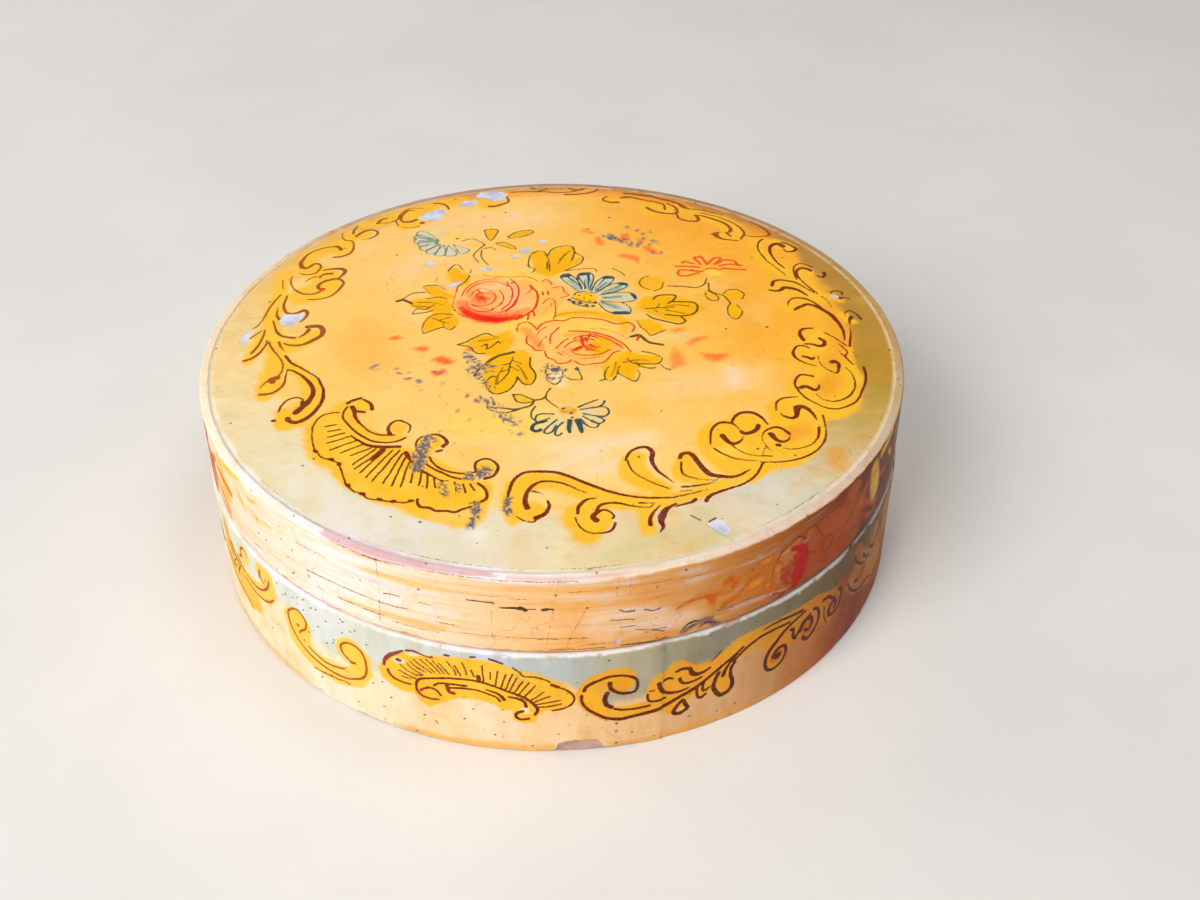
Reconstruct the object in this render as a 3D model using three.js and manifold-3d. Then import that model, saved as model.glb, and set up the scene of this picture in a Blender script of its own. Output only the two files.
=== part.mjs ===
// A round papier-mache box with a lift-off lid, in millimetres, +Z up.
// The origin is the centre of the underside, and the axis of the box is Z.
//
// The base is a wall band round a flat floor board, with a collar inside the band.
// The collar stands above the seam, and the lid drops over it until the bands meet.
// The lid is a shallower band round a crowned board, which lies inside the band's top edge.
import * as THREE from "three";
import { mergeVertices } from "three/addons/utils/BufferGeometryUtils.js";
import Module from "manifold-3d";

const wasm = await Module();
wasm.setup();

// Driving dimensions
const BASE_RADIUS = 80; // outside of the base wall
const BASE_HEIGHT = 28; // underside to the seam
const BASE_WALL = 2.4;
const LID_HEIGHT = 19; // seam to the top edge of the lid band
const LID_SETBACK = 0.4; // how far the lid band lies inside the face of the base wall
const SEAM = 0.3; // the dark line between the two bands
const FLOOR_THICKNESS = 3;
const TOP_THICKNESS = 2.6;
const TOP_CROWN = 1; // how far the middle of the lid stands above its rim
const LAP_ANGLE = 15; // where the outer end of the base strip lies, right of the front, in degrees
const LAP_STEP = 0.4; // how far that end stands above the turn of strip beneath it
const LAP_FADE = 45; // the turn in which the step dies away, in degrees
const COLLAR_WALL = 1.8;
const COLLAR_RISE = 8; // how far the collar stands up into the lid
const COLLAR_LEAD = 1.2; // bevel that guides the lid onto the collar, as a length up the wall
const COLLAR_LEAD_DEPTH = 0.7;
const JOINT_SLANT = 35; // the strip of the collar meets end to end on a slant, in degrees
const JOINT_GAP = 0.8;
const LID_PLAY = 0.5; // running clearance between the collar and the lid band
const GLUE_LINE = 0.3;
const SEAM_ARRIS = 0.9; // the base wall's upper outside edge, worn round by hands
const LID_ARRIS = 0.5; // the lid band's upper outside edge
const ARRIS = 0.4; // every other edge
const ARRIS_SHARE = 0.45; // a rounded edge takes at most this share of its wall

// How finely the round forms are divided
const TURN_STEPS = 96;
const ARRIS_STEPS = 1; // each step makes two facets of a rounded edge
const CROWN_STEPS = 6;

// Sizes that follow from the ones above
const collarOuter = BASE_RADIUS - BASE_WALL - GLUE_LINE;
const lidInner = collarOuter + LID_PLAY;
const lidOuter = BASE_RADIUS - LID_SETBACK;
const lidFoot = BASE_HEIGHT + SEAM;
const lidTop = lidFoot + LID_HEIGHT;
const quarterTurn = Math.PI / 2;

// Closed profile of a band in (radius, height), with its four edges rounded.
// topArris is the radius of the upper outside edge.
function bandProfile({ inner, outer, foot, top, topArris }) {
  const most = (outer - inner) * ARRIS_SHARE;
  const worn = Math.min(topArris, most);
  const eased = Math.min(ARRIS, most);
  const profile = new THREE.Path();
  profile.absarc(outer - eased, foot + eased, eased, -quarterTurn, 0, false);
  profile.absarc(outer - worn, top - worn, worn, 0, quarterTurn, false);
  profile.absarc(inner + eased, top - eased, eased, quarterTurn, 2 * quarterTurn, false);
  profile.absarc(inner + eased, foot + eased, eased, 2 * quarterTurn, 3 * quarterTurn, false);
  return withoutRepeats(profile.getPoints(ARRIS_STEPS));
}

// Profile of a board in (radius, height), from the axis round its rim and back to the axis.
// A crowned board keeps one thickness: its underside is hollow by the same amount.
function boardProfile({ radius, rimTop, thickness, crown }) {
  const eased = Math.min(ARRIS, thickness * ARRIS_SHARE);
  const reach = radius - eased;
  const steps = crown > 0 ? CROWN_STEPS : 1;
  const crownAt = (i) => {
    const r = (reach * i) / steps;
    return new THREE.Vector2(r, rimTop + crown * (1 - (r / reach) ** 2));
  };
  const points = [];
  for (let i = 0; i < steps; i++) {
    const top = crownAt(i);
    points.push(new THREE.Vector2(top.x, top.y - thickness));
  }
  const rim = new THREE.Path();
  rim.absarc(reach, rimTop - thickness + eased, eased, -quarterTurn, 0, false);
  rim.absarc(reach, rimTop - eased, eased, 0, quarterTurn, false);
  points.push(...rim.getPoints(ARRIS_STEPS));
  for (let i = steps - 1; i >= 0; i--) {
    points.push(crownAt(i));
  }
  return withoutRepeats(points);
}

function withoutRepeats(points) {
  return points.filter((p, i) => i === 0 || p.distanceTo(points[i - 1]) > 1e-4);
}

// Turns a profile about Z. A profile that isn't on the axis at both ends is closed first.
function turned(points) {
  const onAxis = points[0].x === 0 && points[points.length - 1].x === 0;
  const profile = onAxis ? points : [...points, points[0].clone()];
  const geometry = new THREE.LatheGeometry(profile, TURN_STEPS);
  geometry.rotateX(quarterTurn);
  return geometry;
}

// A three.js geometry as a solid for cutting, and back.
function solidOf(geometry) {
  const bare = new THREE.BufferGeometry();
  bare.setAttribute("position", geometry.getAttribute("position"));
  bare.setIndex(geometry.index);
  const merged = mergeVertices(bare, 1e-3);
  return new wasm.Manifold(
    new wasm.Mesh({
      numProp: 3,
      vertProperties: merged.attributes.position.array,
      triVerts: new Uint32Array(merged.index.array),
    }),
  );
}

function geometryOf(solid) {
  const mesh = solid.getMesh();
  const geometry = new THREE.BufferGeometry();
  geometry.setAttribute("position", new THREE.BufferAttribute(mesh.vertProperties, 3));
  geometry.setIndex(new THREE.BufferAttribute(mesh.triVerts, 1));
  geometry.computeVertexNormals();
  return geometry;
}

// A point at a distance from the axis, turned from the front (-Y) towards +X by an angle in degrees.
function planPoint(radius, angle) {
  const turn = THREE.MathUtils.degToRad(angle);
  return new THREE.Vector2(radius * Math.sin(turn), -radius * Math.cos(turn));
}

// The sliver of space beside the lapped end of the base strip.
// It is deepest at the end's upright edge and thins out round the wall.
function lapRelief() {
  const steps = Math.round((LAP_FADE * TURN_STEPS) / 360);
  const outline = [];
  for (let i = 0; i <= steps; i++) {
    const share = i / steps;
    const depth = LAP_STEP * (1 - share) ** 2;
    outline.push(planPoint(BASE_RADIUS - depth, LAP_ANGLE + LAP_FADE * share));
  }
  for (let i = steps; i >= 0; i--) {
    outline.push(planPoint(BASE_RADIUS + BASE_WALL, LAP_ANGLE + (LAP_FADE * i) / steps));
  }
  const relief = new THREE.ExtrudeGeometry(new THREE.Shape(outline), {
    depth: BASE_HEIGHT + 2 * BASE_WALL,
    bevelEnabled: false,
  });
  relief.translate(0, 0, -BASE_WALL);
  return relief;
}

// The wall of the base: a strip of pressed paper pulp bent into a ring, with its ends lapped.
function baseBand() {
  const ring = turned(
    bandProfile({
      inner: BASE_RADIUS - BASE_WALL,
      outer: BASE_RADIUS,
      foot: 0,
      top: BASE_HEIGHT,
      topArris: SEAM_ARRIS,
    }),
  );
  return geometryOf(solidOf(ring).subtract(solidOf(lapRelief())));
}

// The floor board, inside the foot of the wall.
function basePanel() {
  return turned(
    boardProfile({
      radius: BASE_RADIUS - BASE_WALL - GLUE_LINE,
      rimTop: FLOOR_THICKNESS,
      thickness: FLOOR_THICKNESS,
      crown: 0,
    }),
  );
}

// The collar, a strip bent round inside the wall and standing on the floor board.
// Its upper outside edge is bevelled, and its two ends meet on a slant at the back.
function baseCollar() {
  const inner = collarOuter - COLLAR_WALL;
  const foot = FLOOR_THICKNESS;
  const top = BASE_HEIGHT + SEAM + COLLAR_RISE;
  const eased = Math.min(ARRIS, COLLAR_WALL * ARRIS_SHARE);
  const ring = turned([
    new THREE.Vector2(inner, foot),
    new THREE.Vector2(collarOuter, foot),
    new THREE.Vector2(collarOuter, top - COLLAR_LEAD),
    new THREE.Vector2(collarOuter - Math.min(COLLAR_LEAD_DEPTH, COLLAR_WALL * ARRIS_SHARE), top),
    new THREE.Vector2(inner + eased, top),
    new THREE.Vector2(inner, top - eased),
  ]);
  const sawReach = 2 * (top - foot); // longer than the slanted cut, and thicker than the wall
  const saw = new THREE.BoxGeometry(JOINT_GAP, 4 * COLLAR_WALL, sawReach);
  saw.rotateY(THREE.MathUtils.degToRad(JOINT_SLANT));
  saw.translate(0, (inner + collarOuter) / 2, (top + foot) / 2);
  return geometryOf(solidOf(ring).subtract(solidOf(saw)));
}

// The wall of the lid, whose inside runs over the collar.
function lidBand() {
  return turned(
    bandProfile({
      inner: lidInner,
      outer: lidOuter,
      foot: lidFoot,
      top: lidTop,
      topArris: LID_ARRIS,
    }),
  );
}

// The top board, let in flush with the edge of the lid band and slightly crowned.
function lidPanel() {
  return turned(
    boardProfile({
      radius: lidInner - GLUE_LINE,
      rimTop: lidTop,
      thickness: TOP_THICKNESS,
      crown: TOP_CROWN,
    }),
  );
}

function part(name, geometry, color, roughness) {
  const material = new THREE.MeshStandardMaterial({ color, roughness, metalness: 0 });
  const mesh = new THREE.Mesh(geometry, material);
  mesh.name = name;
  return mesh;
}

const PAINT_PEACH = 0xf2c27e;
const PAINT_CREAM = 0xf0d5a4;
const BARE_PAPER = 0xb99c74;

const base = new THREE.Group();
base.add(
  part("base_band", baseBand(), PAINT_CREAM, 0.45),
  part("base_panel", basePanel(), BARE_PAPER, 0.8),
  part("base_collar", baseCollar(), BARE_PAPER, 0.8),
);

const lid = new THREE.Group();
lid.add(
  part("lid_band", lidBand(), PAINT_PEACH, 0.45),
  part("lid_panel", lidPanel(), PAINT_PEACH, 0.4),
);

const box = new THREE.Group();
box.add(base, lid);

export default box;
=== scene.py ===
import math

import bpy
import numpy as np
from mathutils import Matrix, Vector


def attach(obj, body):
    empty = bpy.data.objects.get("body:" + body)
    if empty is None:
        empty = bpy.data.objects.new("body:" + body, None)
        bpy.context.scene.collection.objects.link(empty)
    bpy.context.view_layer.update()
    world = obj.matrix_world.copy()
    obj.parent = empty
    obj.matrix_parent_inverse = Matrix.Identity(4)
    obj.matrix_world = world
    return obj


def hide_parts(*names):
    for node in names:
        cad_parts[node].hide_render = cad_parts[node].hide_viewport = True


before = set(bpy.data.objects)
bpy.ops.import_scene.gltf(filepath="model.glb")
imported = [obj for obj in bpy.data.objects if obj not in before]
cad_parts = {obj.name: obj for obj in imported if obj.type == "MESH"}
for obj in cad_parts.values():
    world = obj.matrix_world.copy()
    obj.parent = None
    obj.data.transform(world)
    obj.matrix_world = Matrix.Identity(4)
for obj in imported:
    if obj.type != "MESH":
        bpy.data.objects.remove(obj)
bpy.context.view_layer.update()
MM = 0.001

# Sizes of part.mjs in millimetres, by the names that it gives them
BASE_RADIUS, BASE_HEIGHT, BASE_WALL, LID_HEIGHT = 80.0, 28.0, 2.4, 19.0
LID_SETBACK, SEAM, GLUE_LINE, LID_PLAY = 0.4, 0.3, 0.3, 0.5
TOP_THICKNESS, TOP_CROWN = 2.6, 1.0
SEAM_ARRIS, LID_ARRIS, ARRIS = 0.9, 0.5, 0.4
LAP_ANGLE, LAP_FADE = 15.0, 45.0

# Sizes worked out from them
BASE_INNER = BASE_RADIUS - BASE_WALL
LID_INNER = BASE_INNER - GLUE_LINE + LID_PLAY
LID_OUTER = BASE_RADIUS - LID_SETBACK
LID_FOOT = BASE_HEIGHT + SEAM
LID_TOP = LID_FOOT + LID_HEIGHT
ROUND = 2 * math.pi * BASE_RADIUS  # once round the wall

# Sizes that the dressed part has by itself
LAP_STEP = 0.22  # the paint has softened the solid's 0.4
JOINT_ARRIS = 0.04  # the painted joint between the top board and its band
JOINT_LINE = 0.005
GRID = 0.12  # between the points of a painting
SPLIT = 3  # a cell that carries brush lines is divided this many times each way
COLUMNS = 576  # cells round a wall
WALL_STEP = 0.87  # height of a wall's cells
BOARD_CELLS = 146  # cells across the top board
RIM_BAND = 1.6  # width of the finer mesh along worn edges
NEAR_ON_BOARD, NEAR_ON_WALL = 0.72, 0.6  # how near a line is to the middle of a cell that is split
COLOUR_REACH, COLOUR_STEP = 0.4, 0.22  # a colour that changes this much within this reach splits its cell
LINE_REACH = 1.3  # how far from a line or chip its edge distance is worked out
FAR = 9.0  # the edge distance where there is no line or chip


def rgb(r, g, b):
    """A paint colour as it looks, 0 to 255, as numbers from 0 to 1."""
    return np.array([r, g, b], np.float32) / 255


def linear(colour):
    """The light that a colour stands for."""
    colour = np.clip(np.asarray(colour, np.float32), 0, 1)
    return np.where(colour <= 0.04045, colour / 12.92, ((colour + 0.055) / 1.055) ** 2.4)


def ease(x, start, end):
    """0 before start, 1 after end, and smooth between."""
    t = np.clip((x - start) / (end - start), 0, 1)
    return t * t * (3 - 2 * t)


def blend(ground, share, paint):
    """A ground with paint over a share of it, which changes from cell to cell."""
    return ground + (paint - ground) * share[..., None]


def colour_round(place, stops):
    """A colour that changes round the box. Stops are a place, then red, green, blue."""
    stops = np.array(stops, float)
    return np.stack([np.interp(place, stops[:, 0], stops[:, k]) for k in (1, 2, 3)], -1) / 255


def read(text):
    """The strokes of a drawing.

    A row has words, a colon and points. Slashes part the strokes that share the row's words, and
    an indented line goes on with the row.
    """
    for row in text.strip().replace("\n ", " ").splitlines():
        words, _, strokes = row.partition(":")
        for stroke in strokes.split("/"):
            points = [[float(v) for v in point.split(",")] for point in stroke.split()]
            yield words.split(), np.array(points)


def smooth(points, widths, parts=4):
    """A curve through the points, with the width at each of its points."""
    if len(points) > 2:
        ends = np.vstack([2 * points[0] - points[1], points, 2 * points[-1] - points[-2]])
        t = (np.arange(parts) / parts)[:, None]
        pieces = []
        for p0, p1, p2, p3 in zip(ends, ends[1:], ends[2:], ends[3:]):
            bend = 2 * p0 - 5 * p1 + 4 * p2 - p3
            pieces.append(p1 + 0.5 * ((p2 - p0) * t + bend * t**2 + (3 * p1 - p0 - 3 * p2 + p3) * t**3))
        points = np.vstack(pieces + [points[-1:]])
    steps = np.hypot(*np.diff(points, axis=0).T)
    along = np.concatenate([[0], np.cumsum(steps)])
    share = along / max(along[-1], 1e-6)
    return points, np.interp(share, np.linspace(0, 1, len(widths)), widths)


def to_segment(X, Y, a, b):
    """Distance from each place to a segment, and how far along it the nearest point is."""
    run = b - a
    t = np.clip(((X - a[0]) * run[0] + (Y - a[1]) * run[1]) / max(run @ run, 1e-9), 0, 1)
    return np.hypot(X - a[0] - t * run[0], Y - a[1] - t * run[1]), t


def to_band(X, Y, spots):
    """Distance to a band through spots of x, y, radius, less than 0 inside it."""
    least = np.full(X.shape, 99.0)
    for a, b in zip(spots, spots[1:]):
        d, t = to_segment(X, Y, a[:2], b[:2])
        least = np.minimum(least, d - (a[2] + (b[2] - a[2]) * t))
    return least


def to_outline(X, Y, outline):
    """Distance to an outline, less than 0 inside it."""
    least, odd = np.full(X.shape, 99.0), np.zeros(X.shape, bool)
    for a, b in zip(outline, np.roll(outline, -1, axis=0)):
        least = np.minimum(least, to_segment(X, Y, a, b)[0])
        if a[1] != b[1]:
            crosses = (Y > min(a[1], b[1])) & (Y <= max(a[1], b[1]))
            odd ^= crosses & (X < a[0] + (Y - a[1]) * (b[0] - a[0]) / (b[1] - a[1]))
    return np.where(odd, -least, least)


class Canvas:
    """A painting worked out on a fine grid, in millimetres.

    ground is the colour of the ground coat and washes. ink is the colour of the nearest brush
    line and ink_edge the distance to its edge, less than 0 inside it. chip_edge is the same for
    chips in the paint. sunk is how far the surface lies below its true place.
    """

    def __init__(self, x0, x1, y0, y1, seed, wrap=False):
        self.x0, self.y0, self.wrap = x0, y0, wrap
        self.nx, self.ny = round((x1 - x0) / GRID), round((y1 - y0) / GRID) + 1
        shape = (self.ny, self.nx)
        self.X, self.Y = np.meshgrid(x0 + GRID * np.arange(self.nx), y0 + GRID * np.arange(self.ny))
        self.X, self.Y = self.X.astype(np.float32), self.Y.astype(np.float32)
        self.shake = [0.1 * self.noise(2.5, 2.5, seed + k) for k in (1, 2)]
        self.pool = self.noise(4, 4, seed + 3)  # how thick a wash lies
        self.flecks = self.noise(0.5, 0.45, seed + 4)
        self.ground = np.zeros(shape + (3,), np.float32)
        self.ink = np.zeros(shape + (3,), np.float32)
        self.ink_edge = np.full(shape, FAR, np.float32)
        self.chip_edge = np.full(shape, FAR, np.float32)
        self.sunk = np.zeros(shape, np.float32)

    def noise(self, wide, high, seed, octaves=3):
        """Smooth noise from about -1 to 1. wide and high are the size of its largest lumps."""
        rng = np.random.default_rng(seed)
        total, strength = np.zeros((self.ny, self.nx), np.float32), 1.0
        for k in range(octaves):
            tall, broad = max(high / GRID / 2**k, 1.0), max(wide / GRID / 2**k, 1.0)
            across = max(round(self.nx / broad), 1) if self.wrap else int(self.nx / broad) + 3
            knots = rng.uniform(-1, 1, (int(self.ny / tall) + 3, across)).astype(np.float32)
            y = np.arange(self.ny) / tall
            x = np.arange(self.nx) * (across / self.nx if self.wrap else 1 / broad)
            yi, xi = y.astype(int), x.astype(int)
            ty, tx = y - yi, x - xi
            ty, tx = (ty * ty * (3 - 2 * ty))[:, None], (tx * tx * (3 - 2 * tx))[None]
            right = (xi + 1) % across
            low, top = (knots[i][:, xi] * (1 - tx) + knots[i][:, right] * tx for i in (yi, yi + 1))
            total += strength * (low * (1 - ty) + top * ty)
            strength /= 2
        return total

    def window(self, points, far):
        """The cells within far of some points, and their places, moved a little as if drawn by hand."""
        (xa, ya), (xb, yb) = points[:, :2].min(0) - far, points[:, :2].max(0) + far
        cols = np.arange(math.floor((xa - self.x0) / GRID), math.ceil((xb - self.x0) / GRID) + 1)
        first = max(math.floor((ya - self.y0) / GRID), 0)
        rows = np.arange(first, min(math.ceil((yb - self.y0) / GRID) + 1, self.ny))
        if not self.wrap:
            cols = cols[(cols >= 0) & (cols < self.nx)]
        cells = np.ix_(rows, cols % self.nx)
        X = self.x0 + GRID * cols[None] + self.shake[0][cells]
        Y = self.y0 + GRID * rows[:, None] + self.shake[1][cells]
        return cells, X, Y

    def stroke(self, points, widths, ink):
        """Draws a line of changing width, in an ink or, without one, as a scratch through the paint."""
        edge = self.chip_edge if ink is None else self.ink_edge
        points, widths = smooth(points, widths)
        for a, b, wa, wb in zip(points, points[1:], widths, widths[1:]):
            cells, X, Y = self.window(np.stack([a, b]), max(wa, wb) / 2 + LINE_REACH)
            d, t = to_segment(X, Y, a, b)
            d = d - (wa + (wb - wa) * t) / 2
            nearer = d < edge[cells]
            edge[cells] = np.where(nearer, d, edge[cells])
            if ink is not None:
                self.ink[cells] = np.where(nearer[..., None], ink, self.ink[cells])

    def lay(self, cells, d, paint, cover, soft):
        """Paint where d is under 0. cover is how much of the ground it hides, soft the width of its edge."""
        thick = 1 + 0.12 * self.pool[cells]
        a = (np.clip(0.5 - d / soft, 0, 1) * np.clip(cover * thick, 0, 1))[..., None]
        self.ground[cells] = self.ground[cells] * (1 - a) + paint * a

    def wash(self, spots, paint, cover=0.9, soft=0.5):
        """A brushed band through spots given as x, y, radius."""
        cells, X, Y = self.window(spots, spots[:, 2].max() + soft)
        self.lay(cells, to_band(X, Y, np.vstack([spots[:1], spots])), paint, cover, soft)

    def fill(self, outline, paint, cover=0.9, soft=0.5):
        """Paint inside an outline."""
        cells, X, Y = self.window(outline, 1)
        self.lay(cells, to_outline(X, Y, outline), paint, cover, soft)

    def flake(self, outline):
        """A chip with the given outline."""
        cells, X, Y = self.window(outline, LINE_REACH)
        self.chip_edge[cells] = np.minimum(self.chip_edge[cells], to_outline(X, Y, outline))

    def scuff(self, spots, paint, loss, soft=1.2):
        """Speckled wear round spots of x, y, radius. loss is the share of the paint that is gone."""
        cells, X, Y = self.window(spots, spots[:, 2].max() + soft)
        d = to_band(X, Y, np.vstack([spots, spots[-1:]]))
        bar = 2.0 - 2.6 * loss + 1.4 * np.clip(d / soft, -0.3, 1)
        a = ease(self.flecks[cells], bar - 0.12, bar + 0.12)[..., None] * (d < soft)[..., None]
        self.ground[cells] = self.ground[cells] * (1 - a) + paint * a
        self.ink_edge[cells] = np.where(a[..., 0] > 0.3, 0.5, self.ink_edge[cells])

    def coat(self, share, paint):
        """Paint over a share of the whole ground, which changes from cell to cell."""
        self.ground[:] = blend(self.ground, share, paint)

    def draw(self, lines="", plain=None, fills="", washes="", scuffs="", chips="", right=0, broad=1.0):
        """Puts a drawing on the canvas, moved to the right.

        The words of a fill or wash are its paint, then its cover and soft. Those of a scuff are its
        paint and loss. Those of a line are its ink, if it isn't the plain one, then its widths.
        A line without any ink is a scratch. Chips have no words.
        """

        def moved(text):
            for words, points in read(text):
                points[:, 0] += right
                yield words, points

        for lay, text in ((self.fill, fills), (self.wash, washes)):
            for words, points in moved(text):
                lay(points, PAINTS[words[0]], *map(float, words[1:]))
        for words, points in moved(lines):
            widths = [broad * float(w) for w in words[-1].split("-")]
            self.stroke(points, widths, INKS.get(words[0] if len(words) > 1 else plain))
        for words, points in moved(scuffs):
            self.scuff(points, PAINTS[words[0]], float(words[1]))
        for _, points in moved(chips):
            self.flake(points)

    def petals(self, text):
        """Daisy petals, each from the flower's middle to its tip.

        A row's words are ink, paint, brush width and petal width.
        """
        for words, ends in read(text):
            run = ends[1] - ends[0]
            side = np.array([-run[1], run[0]]) / np.hypot(*run) * float(words[3]) / 2
            outline = np.array([
                ends[0], ends[0] + 0.6 * run + 0.8 * side, ends[0] + 0.92 * run + side,
                ends[0] + 1.04 * run,
                ends[0] + 0.92 * run - side, ends[0] + 0.6 * run - 0.8 * side, ends[0],
            ])
            self.fill(outline, PAINTS[words[1]], 0.7, 0.6)
            self.stroke(outline, [float(w) for w in words[2].split("-")], INKS[words[0]])

    def read_at(self, field, x, y):
        """A field's values between the grid's points."""
        fx = (x - self.x0) / GRID
        fy = np.clip((y - self.y0) / GRID, 0, self.ny - 1.001)
        if not self.wrap:
            fx = np.clip(fx, 0, self.nx - 1.001)
        ix, iy = np.floor(fx).astype(int), fy.astype(int)
        tx, ty = fx - ix, fy - iy
        if field.ndim == 3:
            tx, ty = tx[..., None], ty[..., None]
        left, right = ix % self.nx, (ix + 1) % self.nx
        near = field[iy, left] * (1 - tx) + field[iy, right] * tx
        return near * (1 - ty) + (field[iy + 1, left] * (1 - tx) + field[iy + 1, right] * tx) * ty

    def near_lines(self, x, y, reach):
        """Which cells, given by their middles, have a brush line or chip edge in them."""
        line = self.read_at(self.ink_edge, x, y) < reach
        return line | (np.abs(self.read_at(self.chip_edge, x, y)) < reach)

    def colour_changes(self, x, y):
        """Which cells, given by their middles, have the edge of a colour in them."""
        right, left, above, below = (
            self.read_at(self.ground, x + COLOUR_REACH * i, y + COLOUR_REACH * j)
            for i, j in ((1, 0), (-1, 0), (0, 1), (0, -1))
        )
        return np.maximum(np.abs(right - left), np.abs(above - below)).max(-1) > COLOUR_STEP

    def carried(self, x, y):
        """What the vertices at the given places carry of the painting."""
        fields = ("ground", "ink", "ink_edge", "chip_edge")
        return {field: self.read_at(getattr(self, field), x, y) for field in fields}


def lattice(busy, closed=False):
    """A grid of cells, where each busy cell is split and its neighbours join it without cracks.

    A closed grid joins its last row and column to the first. Returns the row and column of each
    vertex, in cells, and the faces.
    """
    rows, cols = busy.shape
    high, wide = rows * SPLIT + (not closed), cols * SPLIT + (not closed)
    need = np.zeros((high, wide), bool)
    need[::SPLIT, ::SPLIT] = True
    bi, bj = np.nonzero(busy)
    for a in range(SPLIT + 1):
        for b in range(SPLIT + 1):
            need[(bi * SPLIT + a) % high, (bj * SPLIT + b) % wide] = True
    number = np.cumsum(need.ravel()).reshape(need.shape) - 1
    walk = [(0, k) for k in range(SPLIT)] + [(k, SPLIT) for k in range(SPLIT)]
    walk += [(SPLIT, SPLIT - k) for k in range(SPLIT)] + [(SPLIT - k, 0) for k in range(SPLIT)]
    a, b = np.array(walk).T
    faces, whole = [], np.arange(SPLIT + 1)
    for i in range(rows):
        for j in range(cols):
            if busy[i, j]:
                block = number[np.ix_((i * SPLIT + whole) % high, (j * SPLIT + whole) % wide)].tolist()
                for low, top in zip(block, block[1:]):
                    faces += [(low[k], low[k + 1], top[k + 1], top[k]) for k in range(SPLIT)]
            else:
                y, x = (i * SPLIT + a) % high, (j * SPLIT + b) % wide
                faces.append(number[y, x][need[y, x]].tolist())
    y, x = np.nonzero(need)
    return y / SPLIT, x / SPLIT, faces


def new_piece(name, places, faces, body, nodes, material, attributes):
    """A smooth-shaded mesh piece from places in millimetres."""
    mesh = bpy.data.meshes.new(name)
    mesh.from_pydata((np.asarray(places) * MM).tolist(), [], faces)
    mesh.validate()
    mesh.polygons.foreach_set("use_smooth", [True] * len(mesh.polygons))
    for key, values in attributes.items():
        values = np.asarray(values, np.float32)
        if values.ndim == 2:
            layer = mesh.color_attributes.new(key, "FLOAT_COLOR", "POINT")
            full = np.ones((len(values), 4), np.float32)
            full[:, :3] = linear(values)
            layer.data.foreach_set("color", full.ravel())
        else:
            mesh.attributes.new(key, "FLOAT", "POINT").data.foreach_set("value", values)
    mesh.materials.append(material)
    piece = bpy.data.objects.new(name, mesh)
    bpy.context.scene.collection.objects.link(piece)
    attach(piece, body)
    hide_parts(*nodes)


class Nodes:
    """Short ways to add shader nodes to a material or the world."""

    def __init__(self, owner):
        owner.use_nodes = True
        self.owner, self.tree = owner, owner.node_tree
        self.tree.nodes.clear()
        if isinstance(owner, bpy.types.Material):
            self.at = self.add("TexCoord").outputs["Object"]

    def add(self, kind, inputs=None, **settings):
        made = self.tree.nodes.new("ShaderNode" + kind)
        for key, value in settings.items():
            setattr(made, key, value)
        for key, value in (inputs or {}).items():
            if isinstance(value, bpy.types.NodeSocket):
                self.tree.links.new(value, made.inputs[key])
            else:
                made.inputs[key].default_value = value
        return made

    def math(self, operation, a, b, clamp=False):
        return self.add("Math", {0: a, 1: b}, operation=operation, use_clamp=clamp).outputs[0]

    def sum(self, *terms):
        """Adds terms, each given as a value and its weight."""
        total, *more = (self.math("MULTIPLY", *term) for term in terms)
        for term in more:
            total = self.math("ADD", total, term)
        return total

    def span(self, value, start, end, low=0.0, high=1.0):
        """low where a value is at start, high where it is at end, and smooth between."""
        inputs = {"Value": value, "From Min": start, "From Max": end, "To Min": low, "To Max": high}
        return self.add("MapRange", inputs, interpolation_type="SMOOTHSTEP").outputs[0]

    def mix(self, share, a, b, way="MIX"):
        return self.add("Mix", {0: share, 6: a, 7: b}, data_type="RGBA", blend_type=way).outputs[2]

    def paint(self, r, g, b):
        """A colour from 0 to 255 as a socket takes it."""
        return (*linear(rgb(r, g, b)).tolist(), 1.0)

    def stretched(self, x, y, z):
        """Places for a noise whose lumps are shortest along the axis with the largest number."""
        return self.add("Mapping", {"Vector": self.at, "Scale": (x, y, z)}).outputs[0]

    def noise(self, scale, detail=2.0, roughness=0.5, at=None):
        inputs = {"Vector": at or self.at, "Scale": scale, "Detail": detail, "Roughness": roughness}
        return self.add("TexNoise", inputs).outputs["Fac"]

    def cracks(self, scale, width, wander):
        """Thin lines between cells, 1 on a line."""
        drift = self.add("TexNoise", {"Vector": self.at, "Scale": scale * 1.7, "Detail": 3.0})
        inputs = {0: drift.outputs["Color"], 1: (wander / scale,) * 3}
        away = self.add("VectorMath", inputs, operation="MULTIPLY").outputs[0]
        moved = self.add("VectorMath", {0: self.at, 1: away}, operation="ADD").outputs[0]
        cells = self.add("TexVoronoi", {"Vector": moved, "Scale": scale}, feature="DISTANCE_TO_EDGE")
        return self.span(cells.outputs["Distance"], 0.0, width * scale, 1.0, 0.0)

    def attribute(self, name, output="Fac"):
        """What a piece's vertices carry under a name."""
        return self.add("Attribute", attribute_name=name).outputs[output]

    def surface(self, colour, roughness, height, depth, varnish=None):
        """A shader whose relief is depth, in metres, where height is 1."""
        bump = self.add("Bump", {"Height": height, "Distance": depth, "Strength": 1.0})
        inputs = {"Base Color": colour, "Roughness": roughness, "Normal": bump.outputs[0]}
        return self.add("BsdfPrincipled", {**inputs, **(varnish or {})}).outputs[0]

    def sees_backdrop(self):
        """1 for rays of the camera, and for those that reach it by way of gloss or glass."""
        path = self.add("LightPath").outputs
        either = self.math("MAXIMUM", path["Is Camera Ray"], path["Is Glossy Ray"])
        return self.math("MAXIMUM", either, path["Is Transmission Ray"])

    def finish(self, surface, output="OutputMaterial"):
        """Shows a shader, and gives the material or world that now has it."""
        self.add(output, {"Surface": surface})
        return self.owner


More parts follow.
